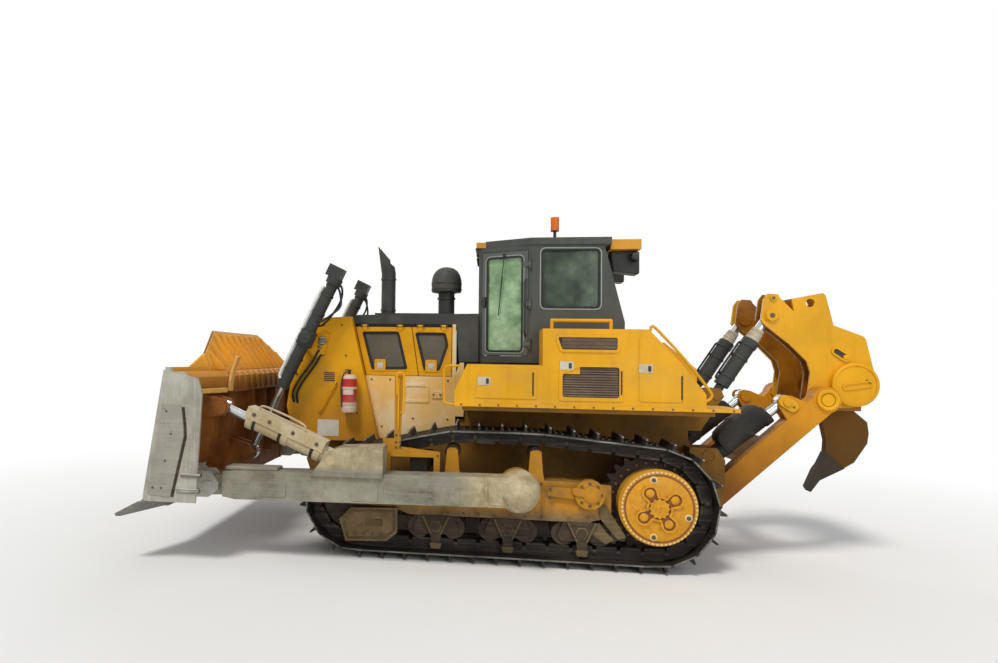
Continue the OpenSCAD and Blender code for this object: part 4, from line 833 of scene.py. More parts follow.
upper_vent = rounded([(1.080, 2.592), (0.437, 2.592), (0.437, 2.458), (1.035, 2.458)], 0.02)
front_panel = rounded([(1.31, 1.886), (2.02, 1.886), (1.93, 2.235), (1.31, 2.235)], 0.03)
rear_panel = rounded([(0.205, 2.60), (0.075, 2.60), (-0.257, 2.30), (-0.257, 1.886), (0.205, 1.886)], 0.03)
outer = rounded([(0.375, 1.88), (1.07, 1.88), (1.07, 2.23), (0.885, 2.30), (0.375, 2.30)], 0.03)
inner = rounded([(0.415, 1.92), (1.03, 1.92), (1.03, 2.18), (0.845, 2.262), (0.415, 2.262)], 0.03)
frames = join(rim(outer, inner, BOX_Y - 0.001, BOX_Y + 0.010),
              rim(grown(upper_vent, 0.032), grown(upper_vent, 0.002), BOX_Y - 0.001, BOX_Y + 0.012))
pair("fender_panels", join(raised(front_panel, BOX_Y, 0.009), raised(rear_panel, BOX_Y, 0.009), frames),
     BOX_YELLOW)


def louvres(x0, x1, z0, z1, count, y, lean=0.018, thick=0.004):
    """Sloping slats, each a flat strip that leans outwards as it falls, spread evenly between two heights."""
    rise = (z1 - z0) / count
    strips = []
    for z in z0 + rise * np.arange(count):
        flat = np.array([(y - lean, z + rise * 0.9), (y - lean + thick, z + rise * 0.9 + thick), (y, z + thick),
                         (y - thick, z)])
        grid = np.stack([np.stack([np.full(4, x + SPROCKET_X), flat[:, 0], flat[:, 1]], 1) for x in (x1, x0)])
        strips.append(capped(grid))
    return join(*strips)


slats = join(louvres(0.42, 1.025, 1.925, 2.175, 9, BOX_Y - 0.004),
             louvres(0.42, 0.84, 2.18, 2.258, 3, BOX_Y - 0.004),
             louvres(0.44, 1.04, 2.466, 2.586, 3, BOX_Y + 0.008, 0.006, 0.003))
pair("fender_louvres", slats, SLAT)
# A dark plate in each upper vent, standing for the shade behind its slats.
pair("fender_vents", raised(upper_vent, BOX_Y, 0.002, 0.0005), SLAT_SHADE)


def knuckle(x, z, length, y, r=0.009):
    """A hinge barrel standing up the side at one station: a short round rod with stepped rings."""
    steps = np.linspace(0, length, 9)
    radius = np.where(np.arange(9) % 2, r, r * 0.9)
    return lathe(np.stack([radius, steps], 1), at(x, y, z - length / 2), UPWARD, 10)


hinges = join(*[knuckle(x, z, 0.26, BOX_Y + 0.011) for x, z in ((1.355, 2.06), (0.392, 2.09), (-0.245, 2.05))])
bezels, paddles = [], []
for x, z in ((1.904, 2.082), (0.986, 2.273), (0.134, 2.254)):
    bezels.append(raised(rect(x - 0.075, x + 0.075, z - 0.048, z + 0.048, 0.012), BOX_Y, 0.014, 0.003))
    paddles.append(plate(rect(x - 0.055, x - 0.022, z - 0.032, z + 0.032, 0.010), BOX_Y + 0.012, BOX_Y + 0.019,
                         0.003))
pair("fender_hinges", hinges, LATCH)
pair("fender_bezels", join(*bezels), PALE)
pair("fender_latches", join(*paddles), LATCH)
edge_bolts = side_heads([(x, 1.81) for x in np.linspace(-0.78, 2.16, 15)], 1.438, 0.012, 0.009)
pair("fender_bolts", edge_bolts, BOLT)

# Engine doors: screens behind the openings, trims, bezels and latches; hood seals and lower panels

DOOR_Y = 0.610
WINDOW_FRONT = [(3.48, 2.665), (2.995, 2.67), (2.875, 2.18), (3.345, 2.17)]
WINDOW_REAR = [(2.79, 2.66), (2.395, 2.66), (2.355, 2.50), (2.465, 2.17), (2.67, 2.165)]
for name, window in (("front_engine_door", WINDOW_FRONT), ("rear_engine_door", WINDOW_REAR)):
    hole = rounded(window, 0.04, 5)
    sides(name + "_screen", plate(grown(hole, -0.006), DOOR_Y - 0.026, DOOR_Y - 0.018, 0.002), MESH, name)
    sides(name + "_trim", rim(grown(hole, 0.016), grown(hole, 0.001), DOOR_Y - 0.002, DOOR_Y + 0.006), YELLOW,
          name)
    x = 3.235 if name[0] == "f" else 2.577
    bezel = rim(rect(x - 0.072, x + 0.072, 2.158, 2.310, 0.02), rect(x - 0.042, x + 0.042, 2.185, 2.282, 0.012),
                DOOR_Y - 0.027, DOOR_Y + 0.009)
    sides(name + "_surround", rim(grown(hole, -0.003), grown(hole, -0.038), DOOR_Y - 0.0185, DOOR_Y - 0.013),
          RUBBER, name)
    paddle = join(plate(rect(x - 0.043, x + 0.043, 2.184, 2.283, 0.012), DOOR_Y - 0.027, DOOR_Y + 0.003, 0.002),
                  plate(rect(x - 0.030, x + 0.030, 2.195, 2.24, 0.010), DOOR_Y + 0.001, DOOR_Y + 0.011, 0.003))
    sides(name + "_bezel", bezel, YELLOW, name)
    sides(name + "_latch", paddle, PALE, name)
strip = slab((2.30, 0.565, 2.7305), (3.555, 0.592, 2.7662), 0.003)
pair("hood_seals", strip, RUBBER)
low_fittings = join(rim(rect(2.60, 2.925, 1.765, 1.995, 0.03), rect(2.625, 2.90, 1.79, 1.97, 0.03),
                        DOOR_Y - 0.001, DOOR_Y + 0.010),
                    raised(rect(2.43, 2.565, 1.82, 1.915, 0.015), DOOR_Y, 0.012, 0.003),
                    raised(rect(3.02, 3.045, 1.42, 2.06, 0.004), DOOR_Y, 0.007, 0.002))
pair("lower_panel_frames", low_fittings, PANEL_YELLOW)
low_bolts = join(side_heads([(2.455, 1.868), (2.54, 1.868)], DOOR_Y + 0.012, 0.013, 0.010),
                 side_heads([(3.10, 2.05), (3.34, 2.05), (2.36, 2.05), (2.36, 1.56), (2.80, 1.56),
                             (3.20, 1.45)], DOOR_Y, 0.013, 0.010))
pair("lower_panel_bolts", low_bolts, BOLT)

# Nose: grille bars, bolts and a bare plate

NOSE_Y = 0.738


def nose_slope(z):
    """Station of the nose's sloping front at a height."""
    return 4.28 + (2.65 - z) / (2.65 - 1.69) * (4.43 - 4.28)


bars = []
for y in np.linspace(-0.47, 0.47, 17):
    low, high = 1.58, 2.54
    outline = [(nose_slope(low) - 0.045, low), (nose_slope(low) - 0.012, low), (nose_slope(high) - 0.012, high),
               (nose_slope(high) - 0.045, high)]
    bars.append(plate(outline, y - 0.009, y + 0.009, 0.003))
for z in (1.80, 2.06, 2.32):
    bars.append(slab((nose_slope(z) - 0.052, -0.515, z - 0.014), (nose_slope(z) - 0.020, 0.515, z + 0.014),
                     0.003))
piece("grille_bars", join(*bars), DARK)
nose_bolts = side_heads([(3.72, 2.74), (3.95, 2.74), (4.15, 2.62), (3.66, 2.35), (3.60, 2.02), (3.50, 1.62),
                         (4.30, 2.10), (4.33, 1.75)], 0.740, 0.014, 0.011)
pair("nose_bolts", nose_bolts, BOLT)
blank = plate(rect(3.735, 4.015, 1.315, 1.525, 0.014), 0.739, 0.744, 0.002)
pair("nose_plate", blank, BLANK)

# Cab: gaskets, trims, door handles, rear ducts, lamps, wipers, seat and controls

THETA = math.radians(25.67)


def wall_point(u, v, z):
    """A point of the left door wall: u along it towards the nose, v out from it."""
    u, v, z = np.broadcast_arrays(np.array(u, float), v, z)
    return np.stack([1.34 + u * math.cos(THETA) + v * math.sin(THETA) + SPROCKET_X,
                     0.85 - u * math.sin(THETA) + v * math.cos(THETA), z], -1)


def on_wall(part):
    """A skin drawn as a side plate, station as u and y as v, moved on to the left door wall."""
    v = part[0]
    return wall_point(v[:, 0] - SPROCKET_X, v[:, 1], v[:, 2]), part[1]


def window_strip(outline, out, inside, high):
    """A strip round an opening, from inside to out beyond its edge, that stands up from the wall by high."""
    hole = rounded(outline, 0.045, 5)
    return rim(grown(hole, out), grown(hole, inside), -0.002, high)


def gasket(outline):
    """A rubber strip, half on the wall and half on the pane."""
    return window_strip(outline, 0.016, -0.0096, 0.008)


def trim(outline):
    """A thin pale frame round a gasket, its pale grey partly a painted highlight along the window edges."""
    return window_strip(outline, 0.030, 0.0155, 0.006)


# Pale grey frames, partly a painted highlight round the windows.
TRIM_AND_HIGHLIGHT = plain("window_trim", "8b8f88", 0.45, 0.3, 0.12)
door_hole = [(0.125, 2.435), (0.5906, 2.435), (0.5906, 3.60), (0.125, 3.60)]
sides("cab_door_gasket", on_wall(gasket(door_hole)), RUBBER, "cab_door")
sides("cab_door_trim", on_wall(trim(door_hole)), TRIM_AND_HIGHLIGHT, "cab_door")
handle = join(panel([(0.600, 2.98), (0.655, 2.98), (0.655, 3.12), (0.600, 3.12)], 0.012, -0.001, 0.008, 0.002),
              panel([(0.612, 3.0), (0.640, 3.0), (0.640, 3.10), (0.612, 3.10)], 0.010, 0.02, 0.034, 0.004),
              panel([(0.618, 3.01), (0.634, 3.01), (0.634, 3.03), (0.618, 3.03)], 0.004, 0.0, 0.024, 0.002))
sides("cab_door_handle", on_wall(handle), LATCH, "cab_door")
bar = tube(wall_point([0.075, 0.075, 0.075, 0.075], [0.0, 0.045, 0.045, 0.0], [2.62, 2.66, 3.28, 3.32]), 0.011,
           10)
sides("cab_door_pull", bar, LATCH, "cab_door")
side_hole = [(0.54, 2.975), (1.215, 2.975), (1.215, 3.675), (0.54, 3.675)]
FLANK_LEAN = (0.850 - 0.810) / (1.340 - 0.240)


def on_flank(part):
    """A skin drawn as a side plate with y as the distance out, moved on to the cab's rear side wall."""
    v = part[0].copy()
    v[:, 1] += 0.810 + FLANK_LEAN * (v[:, 0] - SPROCKET_X - 0.240)
    return v, part[1]


pair("cab_side_gaskets", on_flank(gasket(side_hole)), RUBBER)
pair("cab_side_trims", on_flank(trim(side_hole)), TRIM_AND_HIGHLIGHT)
rear_duct = panel([(0.03, 3.40), (0.34, 3.44), (0.37, 3.685), (0.03, 3.685)], 0.03, 0.36, 0.60, 0.008)
pair("cab_rear_ducts", rear_duct, DARK)


def power(w, p):
    """The power p of a number's size, with its sign kept."""
    return np.sign(w) * np.abs(w) ** p


def lamp_head(where, facing, w=0.075, h=0.058, depth=0.075):
    """A work lamp: a rounded rectangular can that swells from its back to its rim, and a lens inside the
    rim."""
    a, e, f = basis(facing)
    t = np.linspace(0, TAU, 28, endpoint=False)[:, None]
    box = power(np.cos(t), 0.45) * e * w + power(np.sin(t), 0.45) * f * h
    steps = ((depth, 0.55), (depth * 0.9, 0.72), (depth * 0.35, 0.95), (0, 1.0), (-0.004, 0.97), (-0.004, 0.88),
             (0.006, 0.86))
    can = np.stack([np.array(where) - a * d + box * s for d, s in steps])
    bulge = ((-0.008, 0.86), (-0.001, 0.84), (0.003, 0.5), (0.004, 0.05))
    lens = np.stack([np.array(where) + a * d + box * s for d, s in bulge])
    return capped(can), capped(lens)


def lamps(items):
    """Cans and lenses of several lamps, each given by its place and the way it faces."""
    cans, lenses = zip(*[lamp_head(w, d) for w, d in items])
    return join(*cans), join(*lenses)


roof_cans, roof_lenses = lamps([(at(2.02, y, 3.70), (1, 0, -0.15)) for y in (0.46, -0.46)] +
                               [(at(0.075, y, 3.60), (-1, 0, -0.2)) for y in (0.68, -0.68)])
piece("cab_lamps", roof_cans, LATCH)
piece("cab_lenses", roof_lenses, LENS)


def wiper(pivot, reach, tilt):
    """A wiper on the door wall: an arm from its pivot and a blade across its end."""
    end = (pivot[0] + reach * math.sin(tilt), pivot[1] - reach * math.cos(tilt))
    arm = tube(wall_point([pivot[0], (pivot[0] + end[0]) / 2, end[0]], [0.012, 0.022, 0.016],
                          [pivot[1], (pivot[1] + end[1]) / 2, end[1]]), 0.006, 8)
    blade_z = np.array([0.24, 0.0, -0.24])
    blade = tube(wall_point(end[0] - np.sin(tilt) * blade_z, [0.010, 0.013, 0.010],
                            end[1] + np.cos(tilt) * blade_z), 0.007, 8)
    knob = lathe([(0.024, 0), (0.024, 0.014), (0.014, 0.022)], wall_point(pivot[0], 0.0, pivot[1]),
                 (math.sin(THETA), math.cos(THETA), 0), 16)
    return join(arm, blade, knob)


sides("cab_door_wiper", wiper((0.36, 3.635), 0.52, 0.10), LATCH, "cab_door")


def cushion(low, high, crown, n=30, up=2):
    """A padded block between two corners: a rounded cube whose side towards the axis up swells by crown
    (1-u^2)(1-v^2), with two sewn channels along it and sides that pull in between the corners."""
    order = [(up + 1) % 3, (up + 2) % 3, up]
    c, h = (np.array(low) + high) / 2, (np.array(high) - low)[order] / 2
    u, v = np.meshgrid(np.linspace(0, TAU, n * 2, endpoint=False), np.linspace(-math.pi / 2, math.pi / 2, n),
                       indexing="xy")
    a = power(np.cos(v), 0.35) * power(np.cos(u), 0.35)
    b = power(np.cos(v), 0.35) * power(np.sin(u), 0.35)
    w = power(np.sin(v), 0.45)
    swell = np.clip(1 - a ** 2, 0, 1) * np.clip(1 - b ** 2, 0, 1)
    channel = 0.010 * sum(np.exp(-((b - k) / 0.05) ** 2) for k in (-0.5, 0.5))
    x = h[0] * a * (1 - 0.03 * np.clip(1 - b ** 2, 0, 1))
    y = h[1] * b * (1 - 0.03 * np.clip(1 - a ** 2, 0, 1))
    z = h[2] * w + (w > 0.2) * (crown * swell - channel)
    local = np.stack([x, y, z], -1)
    out = np.empty_like(local)
    out[..., order] = local
    return capped(out + c)


seat_pad = piece("seat_pad", cushion(at(0.70, -0.25, 2.64), at(1.18, 0.25, 2.76), 0.02), CLOTH)
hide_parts("seat")
back_pad = piece("seat_back_pad", cushion(at(0.60, -0.25, 2.74), at(0.71, 0.25, 3.33), 0.02, 30, 0), CLOTH)
bellows = lathe([(0.17 + 0.02 * (i % 2), 0.042 * i) for i in range(7)], at(0.94, 0, 2.39), UPWARD, 28)
stand = join(slab((0.72, -0.21, 2.342), (1.15, 0.21, 2.392), 0.008),
             slab((0.70, -0.23, 2.625), (1.17, 0.23, 2.655), 0.008),
             panel([(0.62, 2.63), (0.75, 2.63), (0.68, 3.20), (0.62, 3.20)], 0.02, -0.18, 0.18, 0.006), bellows)
piece("seat_stand", stand, BLACK)
arms = join(*[slab((0.72, y - 0.035, 2.86), (1.06, y + 0.035, 2.91), 0.012) for y in (0.40, -0.40)],
            *[bent_bar([(1.02, y, 2.90), (1.03, y, 2.97), (1.05, y, 3.02)], 0.018) for y in (0.40, -0.40)],
            *[lathe([(0.02, 0), (0.03, 0.02), (0.028, 0.07), (0.012, 0.09)], at(1.05, y, 3.01), (0.1, 0, 1), 16)
              for y in (0.40, -0.40)])
piece("seat_controls", arms, LATCH)
screen = join(panel([(1.80, 2.93), (1.87, 2.93), (1.83, 3.12), (1.78, 3.12)], 0.01, -0.12, 0.12, 0.006),
              tube(np.stack([at(1.82, 0, 2.90), at(1.82, 0, 2.96)]), 0.02, 12))
piece("dash_screen", screen, BLACK)

# Lift cylinders: pipes, bands, lamps and hoses; nose: hoses, fittings, handles; tilt guards: bolts and bars

LIFT_LOW, LIFT_TOP = np.array([4.82, 1.12]), np.array([4.128, 2.563])
lift_dir = (LIFT_TOP - LIFT_LOW) / np.linalg.norm(LIFT_TOP - LIFT_LOW)
LIFT_AXIS, LIFT_FRONT = (lift_dir[0], 0, lift_dir[1]), (lift_dir[1], 0, -lift_dir[0])


def on_lift(s, n, y):
    """A point at distance s up the left lift cylinder from its blade pin, n ahead of its axis, at one y."""
    return beside(LIFT_LOW, LIFT_TOP, s, -n, y)


LIFT_Y = 0.950
PIPE_ROUTE = ((2.30, 0.052), (2.26, 0.090), (2.1, 0.098), (1.3, 0.098), (1.06, 0.096), (1.0, 0.07))
pipes = join(*[tube(smooth([on_lift(s, n, y) for s, n in PIPE_ROUTE], 5), 0.020, 12)
               for y in (LIFT_Y + 0.045, LIFT_Y - 0.045)])
# The pale pipes along the lift barrels stand partly for a painted highlight on the barrels.
sides("lift_pipes", pipes, PALE_PIPE_AND_HIGHLIGHT, "lift_barrel")
bands = join(*[strap(0.0762, 0.084, 0.018, on_lift(s, 0, LIFT_Y), LIFT_AXIS, 32)
               for s in (1.15, 1.32, 1.95, 2.20)])
sides("lift_bands", bands, LATCH, "lift_barrel")
can, lens = lamp_head(on_lift(2.505, 0.122, LIFT_Y), LIFT_FRONT, 0.075, 0.062, 0.05)
sides("lift_lamp", can, LATCH, "lift_barrel")
sides("lift_lens", lens, LENS, "lift_barrel")
lamp_bolts = heads([on_lift(s, n, LIFT_Y + 0.092) for s in (2.46, 2.55) for n in (-0.04, 0.09)], SIDEWAYS,
                   0.012, 0.009)
sides("lift_lamp_bolts", lamp_bolts, BOLT, "lift_barrel")
yoke_cap = join(boss([(0.082, 0), (0.082, 0.012), (0.07, 0.022), (0.03, 0.024)],
                     on_lift(1.600, 0, LIFT_Y + 0.106), 36),
                *[strap(0.1082, 0.113, 0.012, on_lift(s, 0, LIFT_Y), LIFT_AXIS) for s in (1.52, 1.68)])
sides("lift_yoke_caps", yoke_cap, DARK, "lift_barrel")


def hose_loop(top, low, out, y):
    """A hose behind the left lift barrel, from one height to another, hanging out from it in between."""
    route = ((top, -0.05), (top - 0.05, -0.13), (top - 0.2, -0.13 - out), (low + 0.16, -0.12 - 0.6 * out),
             (low + 0.03, -0.10), (low, -0.06))
    return tube(smooth([on_lift(s, n, y) for s, n in route], 6), 0.014, 10)


sides("lift_hoses", join(hose_loop(2.40, 1.80, 0.05, 0.915), hose_loop(2.36, 1.86, 0.09, 0.985)), RUBBER,
      "lift_barrel")
pair("nose_hoses",
     join(bent_bar([(3.98, NOSE_Y, 2.41), (4.01, 0.79, 2.40), (4.09, 0.81, 2.25), (4.25, 0.81, 2.03),
                    (4.33, 0.80, 1.87), (4.335, NOSE_Y, 1.74)], 0.015, 6),
          bent_bar([(3.95, NOSE_Y, 2.36), (3.98, 0.785, 2.345), (4.05, 0.80, 2.22), (4.20, 0.80, 2.01),
                    (4.28, 0.79, 1.86), (4.285, NOSE_Y, 1.73)], 0.015, 6)), RUBBER)
nose_rod = bent_bar([(3.777, NOSE_Y, 2.008), (3.785, 0.764, 1.992), (3.88, 0.766, 1.82), (3.983, 0.764, 1.632),
                     (3.991, NOSE_Y, 1.617)], 0.010)
fitting = join(boss([(0.034, 0), (0.034, 0.045), (0.055, 0.050), (0.055, 0.088), (0.046, 0.096),
                     (0.018, 0.097)], at(3.955, 0.735, 2.535), 12),
               boss([(0.024, 0), (0.024, 0.075), (0.012, 0.081)], at(3.99, 0.735, 2.455), 12))
pair("nose_fittings", fitting, BRIGHT)
handles = bent_bar([(3.70, NOSE_Y, 2.10), (3.695, 0.785, 2.08), (3.62, 0.785, 1.82), (3.60, 0.785, 1.76),
                    (3.60, NOSE_Y, 1.74)], 0.012)
vent = join(*[plate(rect(3.80, 3.94, z, z + 0.012), NOSE_Y, 0.748, 0.002) for z in np.linspace(2.02, 2.12, 5)])
pair("nose_handles", join(handles, nose_rod), YELLOW)
pair("nose_vents", vent, LATCH)

TILT_LOW, TILT_TOP = np.array([3.59, 1.18]), np.array([4.90, 1.73])
TILT_AXIS = (TILT_TOP[0] - TILT_LOW[0], 0, TILT_TOP[1] - TILT_LOW[1])
ARM_Y = 1.700


def on_tilt(s, n, y):
    """A point at distance s along the left tilt cylinder from its rear pin, n above its axis, at one y."""
    return beside(TILT_LOW, TILT_TOP, s, n, y)


guard_bolts = heads([on_tilt(s, 0.088, ARM_Y + 0.118) for s in (0.22, 0.52, 0.82, 1.02)], SIDEWAYS, 0.024,
                    0.014)
tilt_rings = join(*[strap(0.1003, 0.1045, 0.018, on_tilt(s, 0, ARM_Y), TILT_AXIS, 40)
                    for s in (0.25, 0.66, 0.99)])
sides("tilt_rings", tilt_rings, RUBBER, "tilt_barrel")
sides("tilt_guard_bolts", guard_bolts, BOLT, "tilt_barrel")
GRAB_ROUTE = ((0.42, 0.15), (0.44, 0.21), (0.62, 0.225), (0.80, 0.225), (0.98, 0.21), (1.0, 0.15))
grab = tube(smooth([on_tilt(s, n, ARM_Y + 0.06) for s, n in GRAB_ROUTE], 5), 0.012, 10)
sides("tilt_grab_bars", grab, GUARD, "tilt_barrel")

# Push arms: trunnion caps, bolts, pads and covers

cap = boss([(0.105, 0), (0.105, 0.008), (0.085, 0.016), (0.03, 0.018)], at(TRUNNION[0], 1.838, TRUNNION[1]), 40)
arm_bolts = side_heads(circle(TRUNNION, 0.075, 6), 1.850, 0.015, 0.012)
arm_pads = join(*[panel([(x, 0.74), (x + 0.30, 0.74), (x + 0.30, 0.94), (x, 0.94)], 0.03, 1.839, 1.849, 0.003)
                  for x in (2.15, 3.05, 4.1)])
pair("arm_caps", cap, STEEL, "push_arms")
pair("arm_bolts", arm_bolts, BOLT, "push_arms")
pair("arm_pads", arm_pads, STEEL, "push_arms")
arm_trim = join(plate(rect(1.855, 1.885, 0.748, 1.052), 1.838, 1.846, 0.002),
                slab((4.21, 1.59, 1.018), (4.83, 1.81, 1.062), 0.010),
                panel([(1.62, 0.76), (1.84, 0.76), (1.84, 1.03), (1.62, 1.03), (1.56, 0.90)], 0.04, 1.838,
                      1.850, 0.004))
pair("arm_covers", arm_trim, STEEL, "push_arms")

# Blade: ribs behind the spill guard, end plates, gussets, rails, wing bars and edge bolts

WING = math.radians(20)
BEND_X, MID_HALF = 5.20, 1.480


def guard_x(z, y):
    """Station of the spill guard's back at a height, set forward beyond the bend by the wing's slope."""
    return 5.155 + 0.5 * (z - 2.17) + max(0.0, abs(y) - MID_HALF) * math.tan(WING)


def guard_top(y):
    """Height of the spill guard's top, which falls towards both ends."""
    return 2.64 - max(0.0, abs(y) - 0.87) * 0.47 / 0.98


def guard_rib(y):
    """A tapering rib up the back of the spill guard."""
    low, top = 2.15, guard_top(y) - 0.03
    return plate([(guard_x(low, y) + 0.006, low), (guard_x(top, y) + 0.006, top), (guard_x(top, y) - 0.03, top),
                  (guard_x(low, y) - 0.13, low)], y - 0.011, y + 0.011, 0.003)


ribs = join(*[guard_rib(y) for y in np.linspace(-1.35, 1.35, 13)])
piece("guard_ribs", ribs, BLADE, "blade")
END_Y = 2.146


def ribbon(points, half):
    """Outline of a strip along a bent line: its points moved by half to both sides along their normals."""
    p = np.array(points, float)
    t = np.gradient(p, axis=0)
    t /= np.linalg.norm(t, axis=1, keepdims=True)
    n = np.stack([-t[:, 1], t[:, 0]], 1) * half
    return np.concatenate([p + n, (p - n)[::-1]])


wear = raised(rounded([(5.45, 1.775), (5.235, 1.776), (5.222, 1.718), (5.197, 1.54), (5.190, 1.424),
                       (5.250, 1.144), (5.332, 0.75), (5.60, 0.771)], 0.012), END_Y, 0.008, 0.002)
slot = raised(ribbon([(5.205, 1.749), (5.178, 1.548), (5.170, 1.425), (5.229, 1.144), (5.312, 0.754)], 0.016),
              END_Y, 0.004, 0.001)
bars = join(*[plate(rect(x0, x1, z0, z1, 0.008), END_Y - 0.05, END_Y + 0.013, 0.004)
              for x0, x1, z0, z1 in ((4.985, 5.215, 0.975, 1.024), (5.0, 5.265, 0.800, 0.850))])
gusset = plate(ribbon([(4.935, 1.905), (4.930, 2.02), (4.905, 2.13), (4.875, 2.23), (4.848, 2.318)], 0.018),
               1.38, 1.48, 0.004)
brace = plate([(5.00, 2.16), (4.915, 2.13), (4.905, 2.17), (4.875, 2.26)], 1.42, 1.44, 0.003)
guard_rail = tube(np.stack([at(guard_x(guard_top(y), y) + 0.012, y, guard_top(y) - 0.012)
                            for y in (-1.47, -0.87, 0.87, 1.47)]), 0.016, 10)
beam_ribs = join(*[plate([(4.955, 1.90), (4.955, 2.07), (5.005, 2.125), (4.985, 2.14), (4.93, 2.085),
                          (4.93, 1.90)], y - 0.011, y + 0.011, 0.003)
                   for y in np.linspace(-1.35, 1.35, 13)])
piece("beam_ribs", beam_ribs, BLADE, "blade")
piece("guard_rails", guard_rail, RUSTY, "blade")
end_bolts = side_heads([(5.40, 1.70), (5.34, 1.45), (5.40, 1.15), (5.44, 0.85), (5.54, 0.85)], END_Y + 0.008,
                       0.014, 0.0055)
for name, part, finish in (("end_wear_plates", wear, WEAR), ("end_slots", slot, ROLLER),
                           ("end_bars", bars, BRIGHT), ("blade_gussets", gusset, BRACKET),
                           ("blade_braces", brace, BLADE), ("end_bolts", end_bolts, BOLT)):
    pair(name, part, finish, "blade")


def on_wing(part):
    """A skin drawn beside the straight middle, turned back with the left wing about the bend."""
    v = part[0] - (BEND_X + SPROCKET_X, MID_HALF, 0)
    c, s = math.cos(-WING), math.sin(-WING)
    return np.stack([c * v[:, 0] - s * v[:, 1], s * v[:, 0] + c * v[:, 1], v[:, 2]],
                    1) + (BEND_X + SPROCKET_X, MID_HALF, 0), part[1]


wing_bar = on_wing(slab((4.922, MID_HALF - 0.04, 1.890), (4.953, MID_HALF + 0.42, 1.945)))
pair("wing_bars", wing_bar, BRACKET, "blade")


def edge_row(ys):
    """Bolt heads in a row on the cutting edge's sloping face."""
    return heads([at(5.445 + (0.690 - 0.625) * 1.759, y, 0.625) for y in ys], (0.494, 0, 0.870), 0.024, 0.010)


wing_row = on_wing(edge_row(np.linspace(1.56, 2.12, 4)))
piece("edge_bolts", join(edge_row(np.linspace(-1.42, 1.42, 16)), both(wing_row)), BOLT, "blade")

# Ripper: pin caps, boss rings, slots, bolts, sleeves, pipes, barrel covers and bands


def pin_cap(x, z, y, r):
    """A shallow turned cap over a pin's end."""
    return boss([(r, 0), (r, 0.010), (r * 0.9, 0.018), (r * 0.35, 0.020)], at(x, y, z), 36)


def oval(centre, half, width, angle, n=40):
    """A stadium outline: two half circles of radius width, half apart from the centre along angle."""
    t = np.linspace(0, TAU, n, endpoint=False)
    x, z = width * np.cos(t) + half * np.sign(np.cos(t)), width * np.sin(t)
    c, s = math.cos(angle), math.sin(angle)
    return np.stack([centre[0] + c * x - s * z, centre[1] + s * x + c * z], 1)


LINK_FACE, DISC_FACE, CARRIER_Y = 0.760, 0.592, 0.532
lean_down = math.atan2(-0.55, -0.83)
link_caps = join(plate(oval((-1.595, 1.868), 0.05, 0.068, lean_down), LINK_FACE + 0.002, LINK_FACE + 0.022,
                       0.006),
                 pin_cap(-1.58, 1.88, LINK_FACE + 0.021, 0.045),
                 side_ring([(0.084, 0), (0.122, 0), (0.122, 0.024), (0.113, 0.032), (0.090, 0.032),
                            (0.078, 0.024), (0.078, 0)],
                           at(-2.02, LINK_FACE - 0.002, 1.92), 48),
                 pin_cap(-2.02, 1.92, LINK_FACE + 0.002, 0.036))
pair("ripper_pin_seats",
     boss([(0.079, 0), (0.079, 0.004), (0.03, 0.005)], at(-2.02, LINK_FACE - 0.001, 1.92), 40), STAIN_AND_SHADE,
     "ripper_frame")
# Boss rings on the hull's cheeks, in the hull's painted shade.
pair("cheek_bosses",
     side_ring([(0.052, 0), (0.080, 0), (0.080, 0.006), (0.074, 0.010), (0.060, 0.010), (0.052, 0.006)],
               at(-0.715, 0.8125, 1.235), 40), HULL_SHADED_YELLOW)
pair("ripper_link_caps", link_caps, RIPPER_YELLOW, "ripper_frame")
link_bolts = side_heads([(-1.65, 1.83)], LINK_FACE + 0.022, 0.014, 0.010)
pair("ripper_link_bolts", link_bolts, BOLT, "ripper_frame")
disc = join(side_ring([(0.254, 0), (0.256, 0.0), (0.256, 0.006), (0.244, 0.013), (0.226, 0.013), (0.222, 0.003),
                       (0.222, 0)],
                      at(-2.40, DISC_FACE - 0.002, 2.096), 64),
            rim(oval((-2.415, 2.09), 0.125, 0.040, math.radians(171)),
                oval((-2.415, 2.09), 0.125, 0.024, math.radians(171)), DISC_FACE - 0.001, DISC_FACE + 0.014),
            rim(oval((-2.265, 2.452), 0.062, 0.050, lean_down), oval((-2.265, 2.452), 0.062, 0.030, lean_down),
                CARRIER_Y - 0.001, CARRIER_Y + 0.020),
            boss([(0.030, 0), (0.030, 0.022), (0.022, 0.030), (0.008, 0.031)],
                 at(-2.318, CARRIER_Y - 0.001, 2.417), 28),
            pin_cap(-1.505, 2.91, CARRIER_Y + 0.013, 0.072), pin_cap(-1.524, 3.120, CARRIER_Y - 0.001, 0.040))
pair("carrier_bosses", disc, RIPPER_YELLOW, "ripper_tool")
# A dark sheet inside each slot's rim: painted shade in the slot.
slot_floor = raised(oval((-2.265, 2.452), 0.062, 0.031, lean_down), CARRIER_Y, 0.003, 0.001)
pair("carrier_slots", slot_floor, LATCH, "ripper_tool")
carrier_bolts = join(side_heads([(-1.505, 2.91)], CARRIER_Y + 0.032, 0.030, 0.012),
                     side_heads([(-1.524, 3.120)], CARRIER_Y + 0.018, 0.020, 0.012),
                     side_heads([(-2.52, 2.15), (-2.55, 2.13)], DISC_FACE, 0.012, 0.012))
pair("carrier_bolts", carrier_bolts, BOLT, "ripper_tool")


def line_axis(low, high):
    """Direction in space of a line in a side view."""
    return high[0] - low[0], 0, high[1] - low[1]


